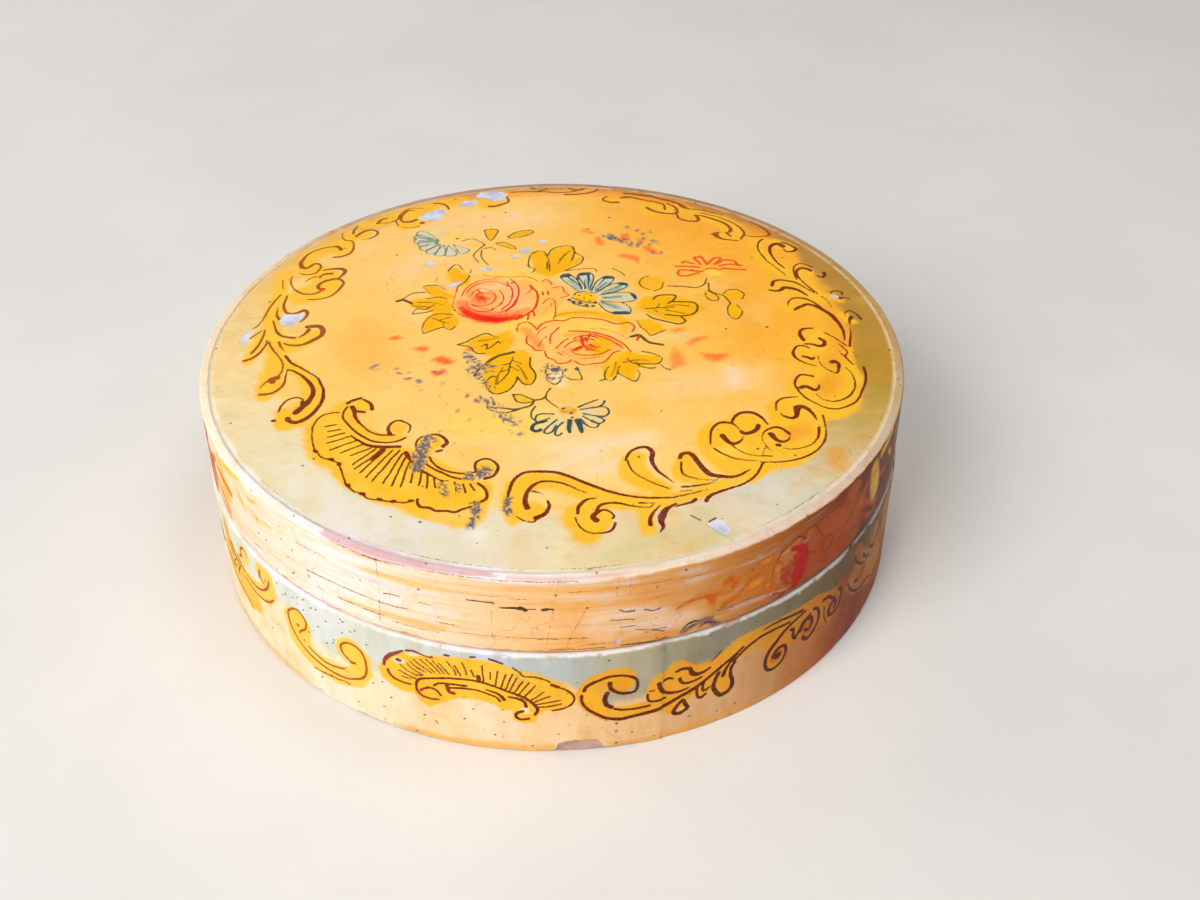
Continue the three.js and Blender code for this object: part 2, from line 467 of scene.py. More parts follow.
# Brush paints for lines, and thin paints for washes
INKS = {
    "dark": rgb(110, 18, 0), "brown": rgb(150, 70, 8), "olive": rgb(88, 66, 4),
    "red": rgb(236, 48, 10), "fire": rgb(244, 84, 20), "teal": rgb(0, 66, 84),
    "slate": rgb(92, 86, 96), "rust": rgb(196, 84, 4), "brick": rgb(156, 24, 4),
    "crack": rgb(62, 34, 26), "wear": rgb(150, 104, 84), "fern": rgb(180, 112, 0),
    "mist": rgb(92, 128, 116), "chalk": rgb(250, 242, 232), "umber": rgb(176, 80, 14),
    "plum": rgb(140, 34, 34),
}
PAINTS = {
    "ochre": rgb(251, 188, 40), "gold": rgb(250, 198, 62), "lemon": rgb(255, 212, 76),
    "amber": rgb(240, 146, 34), "honey": rgb(224, 132, 6), "blush": rgb(250, 222, 200),
    "peach": rgb(255, 196, 120), "pink": rgb(255, 164, 84), "coral": rgb(252, 96, 36),
    "scarlet": rgb(236, 26, 0), "brick": rgb(176, 36, 0), "rust": rgb(212, 96, 0),
    "leaf": rgb(249, 179, 0), "sea": rgb(204, 208, 190), "haze": rgb(238, 208, 150),
    "sky": rgb(178, 186, 192), "white": rgb(248, 240, 226), "bruise": rgb(124, 92, 84),
    "rose": rgb(226, 182, 178), "slate": rgb(104, 98, 110), "lake": rgb(92, 142, 148),
    "marigold": rgb(248, 168, 30), "umber": rgb(190, 82, 0), "claret": rgb(196, 8, 0),
}
BARE = (176, 140, 98)  # pulp without paint
RIM_CORNER = (214, 186, 160)  # the rounded corner of the lid's board
# Colours round the lid's margin and its rim, by degrees from the front towards the right. The margin's paler
# front and left front are partly a painted sheen, and the darker olive and tan of margin and rim on the right
# and back are partly painted shade.
MARGIN = [
    (0, 234, 214, 170), (20, 228, 202, 152), (40, 222, 210, 188), (60, 208, 174, 108), (80, 190, 142, 44),
    (110, 184, 136, 54), (150, 186, 128, 62), (195, 204, 158, 94), (225, 238, 182, 90), (270, 240, 206, 138),
    (315, 234, 222, 192), (340, 232, 221, 206), (360, 234, 214, 170),
]
RIM = [
    (0, 240, 232, 222), (30, 234, 214, 192), (60, 222, 202, 168), (95, 186, 150, 88), (150, 158, 124, 88),
    (200, 176, 134, 104), (240, 230, 196, 144), (290, 248, 238, 210), (340, 244, 234, 238),
    (360, 240, 232, 222),
]
# Colours round the walls, by millimetres from the front towards the right. Their darker, browner run on the
# right, from about 30 to 100 mm, is partly the paint's own colour and partly painted shade, and the small
# step darker at 22 mm is painted shade of the lap's facet.
BASE_LOW = [
    (-252, 244, 208, 156), (-90, 252, 224, 178), (-45, 252, 231, 198), (-30, 250, 216, 168),
    (0, 249, 208, 152), (21.6, 240, 190, 134), (22, 236, 184, 130), (45, 224, 166, 108), (60, 228, 152, 80),
    (76, 196, 88, 0), (130, 216, 162, 104), (252, 244, 208, 156),
]
BASE_HIGH = [
    (-252, 206, 210, 186), (-90, 228, 224, 194), (-45, 220, 222, 206), (0, 188, 192, 188),
    (12, 188, 178, 150), (30, 150, 142, 112), (56, 144, 138, 116), (76, 150, 124, 88), (130, 168, 156, 122),
    (252, 206, 210, 186),
]
LID_WALL = [
    (-252, 244, 200, 150), (-84, 252, 222, 184), (-60, 254, 231, 203), (-40, 253, 236, 216),
    (-10, 252, 202, 142), (5, 248, 180, 98), (28, 222, 150, 78), (46, 192, 106, 30), (60, 156, 62, 0),
    (84, 104, 36, 0), (130, 216, 156, 92), (252, 244, 200, 150),
]
# The paint on the right is darkened as painted shade, and the lines there too.
BASE_PAINTED_SHADE = [
    (38, 255, 255, 255), (60, 222, 196, 156), (76, 184, 142, 92), (96, 210, 184, 150), (130, 255, 255, 255),
]
LINE_PAINTED_SHADE = [(-2, 1), (12, 0.84), (50, 0.72), (96, 0.75), (130, 1)]
# How high up the pale part of the base wall begins, by millimetres from the front
BASE_DIVIDE = [
    (-260, 19), (-66, 20), (-64, 15), (-40, 14), (-34, 20), (0, 20), (9, 13.5), (20, 14), (30, 19), (60, 20),
    (70, 20), (260, 19),
]
# How strong the orange band along the foot is, by millimetres from the front
BASE_FOOT = [
    (-252, 0.3), (-200, 0.8), (-150, 0), (-100, 0.6), (-80, 0.7), (-62, 0.5), (-56, 0), (-37, 0), (-33, 0.9),
    (-2, 0.9), (-1, 0), (9, 0), (10, 1), (45, 0.8), (60, 0.3), (100, 0.8), (150, 0.1), (200, 0.7), (252, 0.3),
]
# The walls' drawings are seen from the front, and repeated round the back, which the photo doesn't show.
BASE_REPEATS = (0, 166, -168)
LID_REPEATS = (0, 168, -170)
# The scroll border of the lid: shell at the front left, scroll at the front, then round by the right.
LID_LINES = """
.8: -44.8,-21.6 -43.8,-20.6 -42.1,-19.9
.5-.7-.9: -41.5,-20.4 -40.4,-21.3 -39.6,-22.6 -39.4,-24.2
.5: -44.8,-22.9 -45.4,-24.9 -45.2,-27.2 -44,-29.5 -42.5,-31.7 -40.2,-34 -37.9,-35.6 -35.2,-36.1 -32.9,-35.6
 -31.5,-34.5
1-.4-.5: -43.7,-23 -43.1,-24.7 -42.5,-27.2 -41.1,-29.7 -39.3,-32 -37,-33.3 -34.7,-33.5 -33.8,-33.5
.7: -43,-24.6 -40.9,-25.1
.8-.5-.3: -34.7,-33.3 -35.4,-31.5 -35.1,-29.9 -33.8,-28.6 -32.2,-28.8 -30.9,-30.1 -30.6,-31.5 -31.1,-32.9
.4-.8-.8: -43.1,-33.3 -41.3,-35.1 -39.3,-36.7 -36.5,-37.5 -32.5,-37.6
.4: -48.8,-29.8 -46.5,-29.2 / -48.1,-31.6 -45.5,-31 / -47.9,-33.5 -44.5,-32.3 / -47.8,-35.6 -43.3,-33.5 /
 -47.1,-38 -41.8,-35 / -44.8,-39.1 -40.2,-36.3 / -42.5,-40.1 -38.4,-37.7 / -41.8,-43.1 -37.5,-38.1
1: -38.1,-41.5 -35.9,-38.1
.4: -41.3,-44.5 -37.9,-40.8 / -40.1,-45.8 -35.6,-38.8 / -38.8,-47.4 -34,-38.8 / -37.4,-48.8 -32.5,-38.8 /
 -35.1,-49.5 -31.8,-39.9 / -33.3,-50.4 -31.1,-41.3 / -31.5,-50.9 -30.2,-43.1 / -29.5,-49.7 -29,-44.5 /
 -27.8,-50.6 -27.5,-46 / -26.1,-51.5 -26.3,-46.7 / -24.5,-51.3 -25,-47.9 / -22.2,-51.7 -23.4,-49.2 /
 -20.2,-52.6 -20.6,-49.7 / -18.2,-53.1 -19,-50.4 / -16.5,-52.6 -17.5,-50.4
1-.6-.3: -31.1,-39.7 -30.2,-41.7 -29.3,-43.1 -27.5,-45.8 -25.6,-47.4 -23.4,-49 -21.8,-49.2
.4-.5-.9: -29,-39.5 -29.2,-36.7 -28.4,-34.7 -26.5,-33.8 -24.7,-33.9 -23.4,-35.1 -22.7,-36.7 -23.5,-37.9
.7: -24.7,-39.5 -23.8,-39.2
.5: -26.1,-41.3 -25.2,-43.5 -23.4,-45.4 -21.1,-46.6 -18.8,-47.1 -15.9,-46.5 / -27,-43.3 -25.6,-44.9
 -23.4,-46.5 -21.1,-48.1 -18.8,-48.9 -16.5,-48.8
.6-.5-.9: -16.1,-46.5 -16.6,-44.9 -16.3,-43.3 -14.7,-42.4 -12.9,-43.1 -11.9,-44.7 -12.1,-46.7 -13.1,-48.3
 -14.5,-48.9
.4: -46.5,-24.9 -48.4,-25.1 -50,-25.9 -50.9,-27.4 -51.5,-29.5 -51.5,-32.2 -51,-34.9 -50.4,-37.2 -49.7,-38.5
 -48.4,-40.4 -46.5,-41.3 -44.5,-42.9 -44.5,-43.8 -43.7,-45.8 -43.1,-47.9 -42.5,-49.7 -40.9,-51.7 -39.3,-52.6
 -37.9,-54 -35.6,-54.7 -32.9,-55.4 -30.2,-55.8 -28.8,-55.1
.9: -50.2,-38 -49.8,-38.4 / -46.6,-41.1 -46.2,-41.3 / -44.6,-42.7 -44.6,-43.1 / -42.3,-49.6 -42.1,-50 /
 -39.3,-52.6 -38.9,-52.8 / -35.7,-54.4 -35.3,-54.6 / -32.8,-55.3 -32.4,-55.3 / -29.3,-55.3 -28.9,-55.2
.6: -27.8,-54.7 -27.8,-56.3 -27,-57.4 -25.2,-57.7 -23.8,-58.5 -22,-58.6 -20.2,-59.1 -18.8,-58.2 -17,-57.5
 -15.6,-56.4 -14.3,-55.4 -14,-54 -14.5,-52.2 -15.9,-50.3
.6-.8-.3: -10.4,-57.4 -9.7,-54 -9.2,-51.3 -8.1,-48.8 -6.3,-47.3 -3.5,-47 -.4,-47.3 2.4,-48.5 5.5,-50.6
 8.3,-52.4 10.5,-53.8 13.3,-54.9 16,-55.7 19.6,-56 23.3,-56 26.9,-55 30.8,-53.5
1.1-.6-.3: -5.8,-58.3 -6.3,-56.3 -5.8,-53.5 -4.7,-51.5 -3.1,-50.3 -.8,-50.3 1.5,-51 3.7,-52.6 6,-54.1
.6-.2: -4.7,-53.3 -2.6,-54.2
.5-1.2: -1.8,-56.3 -1.5,-58.1 -2.4,-60.4 -4,-61.5
.35: -8.1,-60.8 -6.5,-62.2 -4.9,-62.7 -4,-62.2
.3-.8-.6: 8,-55.8 6,-56.3 4.6,-58.1 4.2,-60.4
.35-.4-.6: 3.8,-61.5 4,-63.1 5.1,-65.1 6.9,-66.3 9.2,-66.4 10.8,-65.4 11.5,-63.5
1.3-.6-.4: 7.8,-62.6 7.1,-61.5 7.8,-60.4 9.2,-59.5 10.5,-59.9 11.4,-61.3 11,-62.2
.7-.5-.3: 7.8,-60.4 8.7,-58.1 10.5,-57.4 12.8,-57.6 15.1,-58.5 17.8,-58.9 19,-58.5 19.4,-57.9
.5-.2: 16.5,-57.6 19.9,-57.5
.3-.9: 20.8,-58.3 19.4,-60.1 18.5,-62.2 18.5,-64.2
.4-1.5-.2: 24,-57.9 21.9,-59.5 20.8,-61.7 20.6,-63.5 20.9,-64.9 20.1,-66.5
.4-.7: 23.7,-58.8 25.5,-58.1 27.1,-57.6 28,-56.7
.8-.5-.5: 30,-57.2 30.8,-55.8 32.4,-54.7 35.1,-53.5 37.8,-52.2 40.1,-50.4 41.7,-48.1 42.6,-46 43,-45.1
.3: 25.1,-54.1 27.6,-53.8
.5-1-.3: 14.5,-43.8 14.9,-42.2 16,-40.6 17.6,-39.7 19.2,-39.7 20.2,-41.3 19.9,-43.5 20.1,-45.4 21,-47.6
 22.4,-49.5 24,-51.5
.4: 14.9,-44 15.1,-45.8 16,-47.9 17.8,-49.7 19.6,-51.3 21.5,-52.4 23.3,-53.5
.8-1.3-.3: 25.8,-43.5 26.2,-42.2 27.6,-41.8 28.7,-42.9 29.4,-44.9 30.5,-47.2 31.9,-49 34.2,-49.7 36.5,-49.7
 38.3,-48.8 40.1,-47.2
.5-.3: 25.9,-44.9 25.8,-47.2 26.2,-48.8 27.8,-49.9 30.1,-50.6 33.3,-50.7
.6-.3: 25.5,-52.7 27.8,-52.6 30.5,-52 32.3,-51.3
.4: 26.7,-61.5 28.3,-63.1 / 30,-63.5 31.5,-62.4
.35-.6-.7: 32.6,-38.9 32.7,-36.6 33.3,-33.9 34.4,-32.1 36,-31.3 37.8,-31.7
.5-.3: 38,-31.8 39,-33.3 39.8,-35
.3-.9-1.2: 39.7,-36.4 39.2,-37.6 38.2,-38.6 37,-38.7 36,-37.5 35.3,-36
.5-.9-.5: 37.9,-31.6 38.5,-29.8 39.9,-28.2 41.5,-27.8 43,-28.2 44.4,-29.8 45.5,-32.1
1: 39.6,-34.8 40.3,-35.4 41.9,-34.8 43,-33.7 43.3,-32.5
.4: 36.9,-38.9 37.8,-40.5 39.6,-42.1 41.9,-43 45.1,-43.1
.5-.4: 33.2,-40.2 34.6,-41.9 36.9,-43.7 39.6,-44.5 41.7,-44.7
.3-.4-.8: 45.2,-41.6 44.4,-39.8 43.7,-38 43.8,-36 45.1,-34.1 46.7,-33.2 48.3,-33.7 49.6,-35.5
.3: 43,-43 44,-40
.3-.7-1.3: 49.6,-36.2 49.4,-37.3 48.3,-38.2 47.1,-38 46.2,-36.9 45.8,-35.7
1: 46.7,-39.4 46.9,-39.4
.3: 47.6,-40.3 49.2,-40.8 51.5,-40.5 53.7,-39.4
.4-.5: 42.4,-45 45.1,-45.2 47.8,-44.9 50.5,-44.1 53.3,-42.5 55.5,-40.3 57.1,-37.1 57.7,-33.9 57.7,-29.1
.3-.7: 53.7,-39.4 55.1,-37.8 55.9,-35.7 56.2,-33.5
.4-.5-.3: 47.8,-27.1 48,-25.3 48.7,-23.7 50.5,-22.6 53.3,-22.3
.3-1.4-.4: 48.7,-27.8 49.2,-29.1 50.8,-30.1 51.9,-29.4 52.4,-27.5 52.8,-26 54.2,-26.2 55.5,-28 56.1,-30.7
.6-.4-.6: 57.8,-14.5 55.5,-13.9 54.2,-14.8 53.4,-16.6 53.3,-18.5 54,-20.7 55.3,-23.2 57.4,-25.3 59.6,-26.6
 61.9,-26.7 64.6,-25.3 66.5,-23 67.8,-20.3 69,-17.1 69.6,-13.9 69.7,-11
.3-.9-1.1: 58.6,-17.6 58.4,-18.9 57.4,-19.9 56.5,-19.1 55.5,-18.5 54.6,-18.9
.3-.5-.3: 57.4,-21.2 58.3,-23 60.1,-24.1 61.9,-24 64.2,-22.5 66,-19.8 66.7,-17.1 66.5,-13.5 65.5,-11
.8-.3: 53.3,24.2 54,26 55.6,26.7 57.6,26.3 59.7,25.1 61.3,23.1 63.1,20.8
.6-1.2-.4: 52.5,22.1 54,21.6 55.4,22.1 56,23.1 57,23.2 59.5,22 61.3,19.5
.3-.6-.4: 56,14.7 56.3,16.5 57.6,18.1 59.7,18.3 61.5,17.4 63.1,15.4 64.2,13.5
.8-1.1-.4: 57.4,13.1 58.5,14 59.7,14.9 60.8,15.5 62.2,14.9 64,13.1 65.8,10.6 66.7,8.1 67.4,4.9 67.4,2.2
 67.1,-.1
.4: 60.4,31.3 60.1,29 61,26.3 62.2,23.5 63.8,20.4
.3: 64.7,19.2 65.8,17.2 66.5,14
.5: 67,20.4 67.6,21.5 68.8,21.7 69.9,21 69.7,19.9
1: 68.9,18.3 69.1,18.3
.4: 69.7,18.8 71.3,17.9
.3-.6: 68.8,10.8 69.5,12.2 70.6,12.6 71.7,11.3 72.6,8.8
.3-1: 69.5,6.7 69.7,8.5 70.4,9.9
.3-.6: 69.2,4.9 69,2.2 68.3,-1 68,-2.6
.25: 68.1,-4.6 69,-7.6
.5-1: 60.4,5 58.5,4.9 57.4,4 57.1,2.2 57.6,.1
.8-1-.4: 61.5,.8 62.4,-.5 62,-2.1 60.8,-2.4 59.2,-1.7 57.6,-1.7
.4-.7-.3: 58.5,-3.5 57.6,-2.6 56,-2.4 54.9,-4 54.5,-5.8 55.1,-7.8 56.7,-9.4 59,-10.5
.6-.9-.3: 56.5,-6.7 57.6,-7.1 58.5,-7.8 59.2,-6.7
.4: 62.9,3.3 64.5,1.5 65.8,-.3 67.2,-2.4 / 65.4,-1.5 66.5,-3.3 67,-5.1 66.3,-6.9 67.6,-10.1 / 65.4,-5.5
 66.7,-8 67.4,-9.6
.3-.4-1.1: 60.1,-6.5 59.9,-8.5 60.6,-10.8 62.2,-12.8 63.3,-13.3 64,-11.5 64.2,-9.6 63.3,-8.5 62.7,-9
.3-.5: 57.3,29.2 55.5,32.6 53.6,36 52.5,39.6 52.1,42.8 52.7,45.5 53.9,47.1
.4-.6-1.4: 57.5,32.4 56.1,35.1 55.2,38.3 54.9,41 55.4,43.3 56.6,44.6 57.7,44.6 58.4,43.5
.4-.8-.4: 58.4,45.8 60,44.4 61.5,42.6 61.7,41.8 60.5,40.6 59,40.8 58.4,42
.4-1: 60.9,26.5 60.2,29.2 60.4,31.2 61.6,32.4 63,32.1 63.7,31.2
.4: 59.8,26.9 59.5,30.1 59.8,32.8 60.9,34.4 62.7,34.6 64.5,33
.4-.9: 64.8,29 66.1,27.9 67,29 66.9,30.3
brown .5-.4: 33.6,67.1 34.3,65.1 35.9,63.7 38.6,63.3 41.4,61.9 45,60.1
brown .4-.8: 51.8,56.5 53.6,54.2 55.2,51.9 55.9,49.9 55.5,49
brown .5-.9: 37.5,60.3 39.8,59.6 42,58 44.1,56.5 45.7,54.4 46.3,52.4 45.9,51
brown .4-.6: 39.1,61.5 42.3,59.9 45,57.8 47.3,55.5 48.9,52.8 49.5,50.1 48.4,47.4
brown .4: 50,49 52.3,48.5 55.2,48.7
brown 1.4-.7-.4: 42,50.1 42.3,48.7 43.4,47.4 45.5,46.7 47.7,46.4
brown .6: 41.1,49.9 43,50.8
brown .8-.5: 45,50.5 45.7,48.7
brown .5-.9: 32.7,61.9 33,60.1 33.4,58.5 35,57.3 37.7,56.9 38.4,58 38,59.9
brown .5: 30.9,66.9 32.7,64.6 33.2,62.8
brown .5-.9: -11.5,71.8 -10.9,69.7 -11.5,68.4 -12.8,67.5 -14.4,66.6 -16,66.5
brown .7: -6.7,77 -5.1,76.8 -4,76.3
brown .5: -3.3,74.7 -1.5,75.6 -.8,76.6 / -10.5,74.5 -4.2,74.7 2.6,73.8 6.3,74.3 8.8,75.8 / 4.9,76.4 6.3,75.2
 8.3,75.2 9.5,76.1
brown .6: 4,72.5 7.6,72.7 11.3,73.8 12.9,75.2
brown .8-.5: 18.1,67.7 16.3,67.7 14.5,68.6 14,70 15.1,71.2
brown .9-.5-.6: 18.8,70.4 21.3,70.6 24.5,69 27.6,67.9 29.9,66.1 30.1,63.4
brown .8: 19.9,72.9 22.6,72.2 26.7,71.1 29,69.7 32.2,67.9 34,66.5 36,63.8
brown .9-.5: 25.4,64.5 26.5,63.1 28.5,61.8 31.3,61.1 33.1,61.5 33.1,63.8 32.2,65.6
brown .6: -30.7,68.9 -28.9,68.9 -27.3,67.5 -26.6,65.7
brown .4-.9: -35.5,65 -37.3,65 -38.6,62.7 -38.9,60.5 -38,59 -36.1,59.1 -34.8,60
brown .4: -33.6,66.4 -36.4,66.4 -38.2,65 -39.3,62.7 -39.6,60.5 / -40.2,60 -39.8,58.2 -39.1,57 / -38,56.1
 -36.4,55.7 -34.5,55.9 -33.6,56.6
brown 1: -33.3,58.2 -33.1,58.2
brown .8-.5: -44.8,58.6 -43.9,60.5 -42.3,61.4
brown .4: -44.1,58.6 -41.8,58.9 -40,60 -39.5,60.9
brown .8-.6-.4: -49.6,52 -48.6,53.6 -47.3,54.9 -45.5,55.1 -44.3,53.9 -44.5,52.3 -45.9,50.7 -48.2,50.2
brown .7-.4: -50.5,53.4 -50.5,55.2 -49.8,57.3
brown .4-.7: -53.2,53.6 -53.1,51.8 -52.3,50.2 -50.9,49.8 -50,48.6 -49.8,46.4 -50,44.3 -50.9,42.7 -52.7,41.6
 -54.3,41.6
brown .8: -54.3,47 -53.4,46.6 -52.7,45
brown .3: -52.7,45.9 -51.4,45.9
brown .4-.5-1.1: -54.3,47 -56.8,46.4 -59.3,45 -60.9,43.2 -61.8,40.9 -62.2,39.1 -61.7,37
brown .4: -65.5,31 -65.2,27.8 -64.8,26.9
brown .4-.6: -63.4,32.8 -63.6,31 -63,28.3 -61.8,26 -60,24.4 -58.2,24 -56.6,24.4 -55.9,25.1
brown .9-.6-.4: -56.4,26.5 -56.6,27.8 -55.7,29.4 -54.1,30.3 -52.3,30.8 -50.9,29.6 -50.7,27.8 -51.4,25.5
 -52.7,23.3 -54.5,21.9 -56.8,21.5 -58.6,21.6
red 1.4: -55.6,26 -55.4,26
brown .35: -60,29.9 -59.1,31.2 -57.3,32.4
brown .4-.9: -56.6,31.2 -56.4,32.6 -55.2,33.5 -53.9,33.5
brown .4-1.1-.5: -56.4,35.1 -54.5,35.8 -52.3,35.8 -50.9,34.9 -50.9,33.3 -52,31.2
brown .35-.5-.9: -61.8,34.1 -60.5,33.3 -58.6,33.5 -57.5,34.9 -57,36.9 -57.7,38.5 -58.9,38.5 -59.8,37.1
 -60.7,36.5 -61.8,37.1
brown .5-.4: -65.2,24.2 -66.1,21.9 -67,18.7 -67.5,16 -68.1,12.8 -68.9,10.5 -69.8,9.4
brown .5-.8: -63.5,23.7 -63.9,20.5 -63.7,18.3 -63,16.2 -61.8,15.3
brown .7-.9-.5: -61.8,15.1 -60,15.8 -58.6,16.7 -57.8,15.1 -58.2,13.3 -59.1,11.7
brown .3-.8: -65.2,18.7 -65.1,16 -64.8,14.6 -63.9,13
brown .4-.8: -65.5,12.6 -64.8,10.1 -64.1,7.8 -62.5,5.8 -60.9,5.1 -59.5,4.9
brown .4-1: -58.4,5.1 -57.3,6.5 -56.6,8
brown 1.3-1.1-.5: -57,9.4 -55.5,9.6 -54.1,9.4 -53.3,7.6 -53.6,5.5 -55.2,3.7 -56.4,2.6 -58.2,1.7 -60.5,1.9
 -61.6,2.6
brown .7-.3: -63,3.3 -62.3,1.5 -61.1,-.6
brown .4-.7: -67,8.7 -66.9,6 -67.5,2.4 -68.6,-1
brown .4-.8: -65.8,4.2 -65.9,1.9 -66.8,-.8 -68.2,-2.9 -69.9,-3.8
brown .4: -67.7,8.3 -69.8,5.1
brown .5-.4: -65.3,3.6 -64.4,1.1 -62.5,-2.1 -61.4,-4.4 -60.8,-6.2 -60.7,-8.5 -61.4,-10.7
brown 1.4: -61.4,-11 -62.5,-11.6 -62.3,-12.6
brown .6-.25: -62.8,-11.4 -63.9,-13 -64.8,-15
brown .4-.8: -59.6,-8.2 -59.6,-10.7 -59.6,-13 -60.3,-15.3 -62.1,-17 -64.4,-17.3
.7-.4-.8-1.2: -60.7,-2.5 -58.9,-5.5 -56.6,-7.5 -54.4,-9.6 -52.5,-11.6 -51.2,-14.4 -50.5,-17.1 -50.5,-20.3
 -51.2,-23 -52.3,-25.5 -53.9,-27.3 -55.5,-28 -56.9,-27.3 -57.2,-26.4
.4-1-1.4: -59.4,-8 -57.5,-9.1 -55.3,-11.6 -53.5,-14.4 -52.8,-17.1 -53.2,-19.8 -54.4,-22.3 -55.7,-24.4
.8: -54.8,-20.5 -54.4,-21.9
.5-.4: -59.4,-23.9 -59.1,-21.6 -58,-19.6 -56.2,-18.8 -54.8,-19.8 -55,-21.6
.9: -60.3,-27.1 -60.1,-27.1
"""
LID_FILLS = """
ochre .95 .6: -45.5,-21 -49,-24.5 -52,-27 -53,-31 -52.8,-36 -51.5,-40 -49,-43 -46.5,-45 -44.5,-48.5
 -42,-51.5 -38,-54.5 -33,-57 -29,-59.5 -25,-62 -20,-64 -16,-63.5 -14,-61 -13.8,-57 -13,-53 -13.5,-50
 -17,-49.2 -20,-48.5 -24,-46 -27,-43 -29,-39.5 -30.5,-38 -33,-37.5 -37,-37 -40,-35 -43,-32 -45,-28.5
 -46,-24.5 / 12.5,-46 14,-42.5 17,-41 19,-42 18.5,-46 20.5,-50 24,-53 22,-55 17,-53.5 13.5,-50.5 /
 23.5,-46.5 25.5,-43.8 28,-44 29.5,-47.5 32,-50.5 30,-52.5 26,-51.5 23.8,-49.5 / 50.5,-20 52.5,-16 55,-14.5
 58,-12 57,-9 68,-9 69,-15 67.8,-21 66,-27 62,-30.5 58.5,-31 57.8,-35 56.5,-39 54,-43 50,-46.5 46,-47.5
 43,-49.5 40,-52 36,-50 33,-47.5 30,-42 29.5,-38 30.5,-34 33,-31.5 37,-30 39,-28.5 42,-28.5 46,-32 45.5,-28
 46,-25 49,-22.5 52,-22
"""
LID_WASHES = """
ochre .9 .6: -45,-22,1.3 -44.5,-26,1.5 -42,-30.5,1.6 -38,-34.3,1.8 -33.5,-34.6,1.6 / -42,-22.5,2.3
 -41.5,-22.5,2.3 / -33.5,-31,1.7 -33,-31,1.7 / -26.3,-36.5,2.6 -28,-40,1.6 -26.5,-42.5,1.6 -23,-46,1.8
 -18,-48,1.5 / -14.5,-45.5,2.2 -14.3,-45.5,2.2
lemon .5 1.2: -15,-53.5,1.2 -15,-53.6,1.2
lemon .45 2.5: -47,-30,1.5 -44,-38,2 -38,-45,2 -30,-50,2
ochre .92 .6: -8.5,-62,1.6 -9,-57,2.2 -8,-52,2.6 -4,-49.8,2.6 1,-50.8,2.6 6,-53.8,2.6 12,-57,2.6
 19,-57.5,2.6 26,-55.8,1.8 34,-52.5,1.7 40,-48.5,2
ochre .9 .6: -5.5,-59.5,3.3 -5.4,-59.5,3.3 / 6,-62,5.2 5.7,-66.5,3 / 17.5,-60,1.7 17.8,-66,1.7 /
 26.5,-43.8,1.6 28,-42.6,1.6
lemon .6 1.5: 34.5,-41.5,1.6 38,-40.5,1.6
amber .5 2: 50,-36,2 53,-34,2 / 60,-19,2.4 62,-16,2.4
amber .55 2: 58.5,-42.4,2.2 58.5,-46,2.2
ochre .92 .7: 55,34,2.2 58,29,2.6 61,24,2.2 64,18,2.2 66,12,2.2 66.5,5,2.6 66,-2,2.6 65,-8,3.2 / 61,23,2.3
 57,23,2.3 53,22,1.9 / 64,14,2.6 60,15,2.6 56,14,2.2 / 65,9,3 64.8,9,3 / 60,1,3.6 57.5,-6,4.3 62,-10,3
ochre .9 .7: 67,19,1.6 69,17,1
amber .45 3: 63,-10,2 67,2,3 66,14,2.5
haze .5 3: -24,-60,1.5 -18,-60,2
ochre .9 .7: 68.5,10.5,1.4 70,7.8,1.2 / 36,62,2.5 42,58.5,2.8 46.5,54,2.8 47,49.5,2.6 44,48,2.4 / 52,48,2
 51.5,44,2 52.3,40,2.2 53.5,36,2.5 55.5,32,2.6 / 57,45,2.2 60,42.5,2.2
amber .55 1.5: 52,52,3 54,50,2.5
ochre .9 .7: 62,30,2.3 62,30.5,2.3
ochre .85 .7: -16,68,3 -15,68.5,3 / 15.5,68.5,2.5 16,69,2.5 / 28,63,4 27,64,4
amber .5 1.5: -28,71,2 -10,73.5,2 0,74,2 10,74,2 20,72,2 30,68,2
ochre .88 .7: -61,38,2.5 -60,43,2.3 -56,46.5,2.3 -52,48,2.4 -50.5,53,2 -47.5,52.8,2 / -52,48,2.2 -52,44,2.4
 / -45,58.5,2 -48,58,1.8 / -45,58.5,2 -42,62,2 -37,65,2.6 -30,68.5,2.2 -24,70.5,2 / -37,58,3.2 -31,63,3.6 /
 -65,34,2.2 -65.8,28,2 -65.5,22,2.2 -66,15,2.2 -65.5,8,2.8 -63.5,1,2.2 -62,-4,1.8
ochre .85 .7: -67.5,6,1.6 -68,0,1.6 -69,-4.5,1.4
ochre .88 .7: -63,-3,2 -62.8,-9,2.6 -62.8,-15,2.8 -63.5,-18,2
ochre .92 .7: -60,-5.5,1.7 -56,-10,1.8 -53,-15,2.2 -52.8,-21,2.6 -55,-26,3 -57.5,-28.5,2.6 -58.5,-24,1.6
ochre .88 .7: -60,38,2 -59.5,35,3 -55,33,3 -55,26,4.3 -60,23,3.5 / -58,3,2.8 -54.5,6,2 / -60,1,2.5
 -60.2,1,2.5
"""
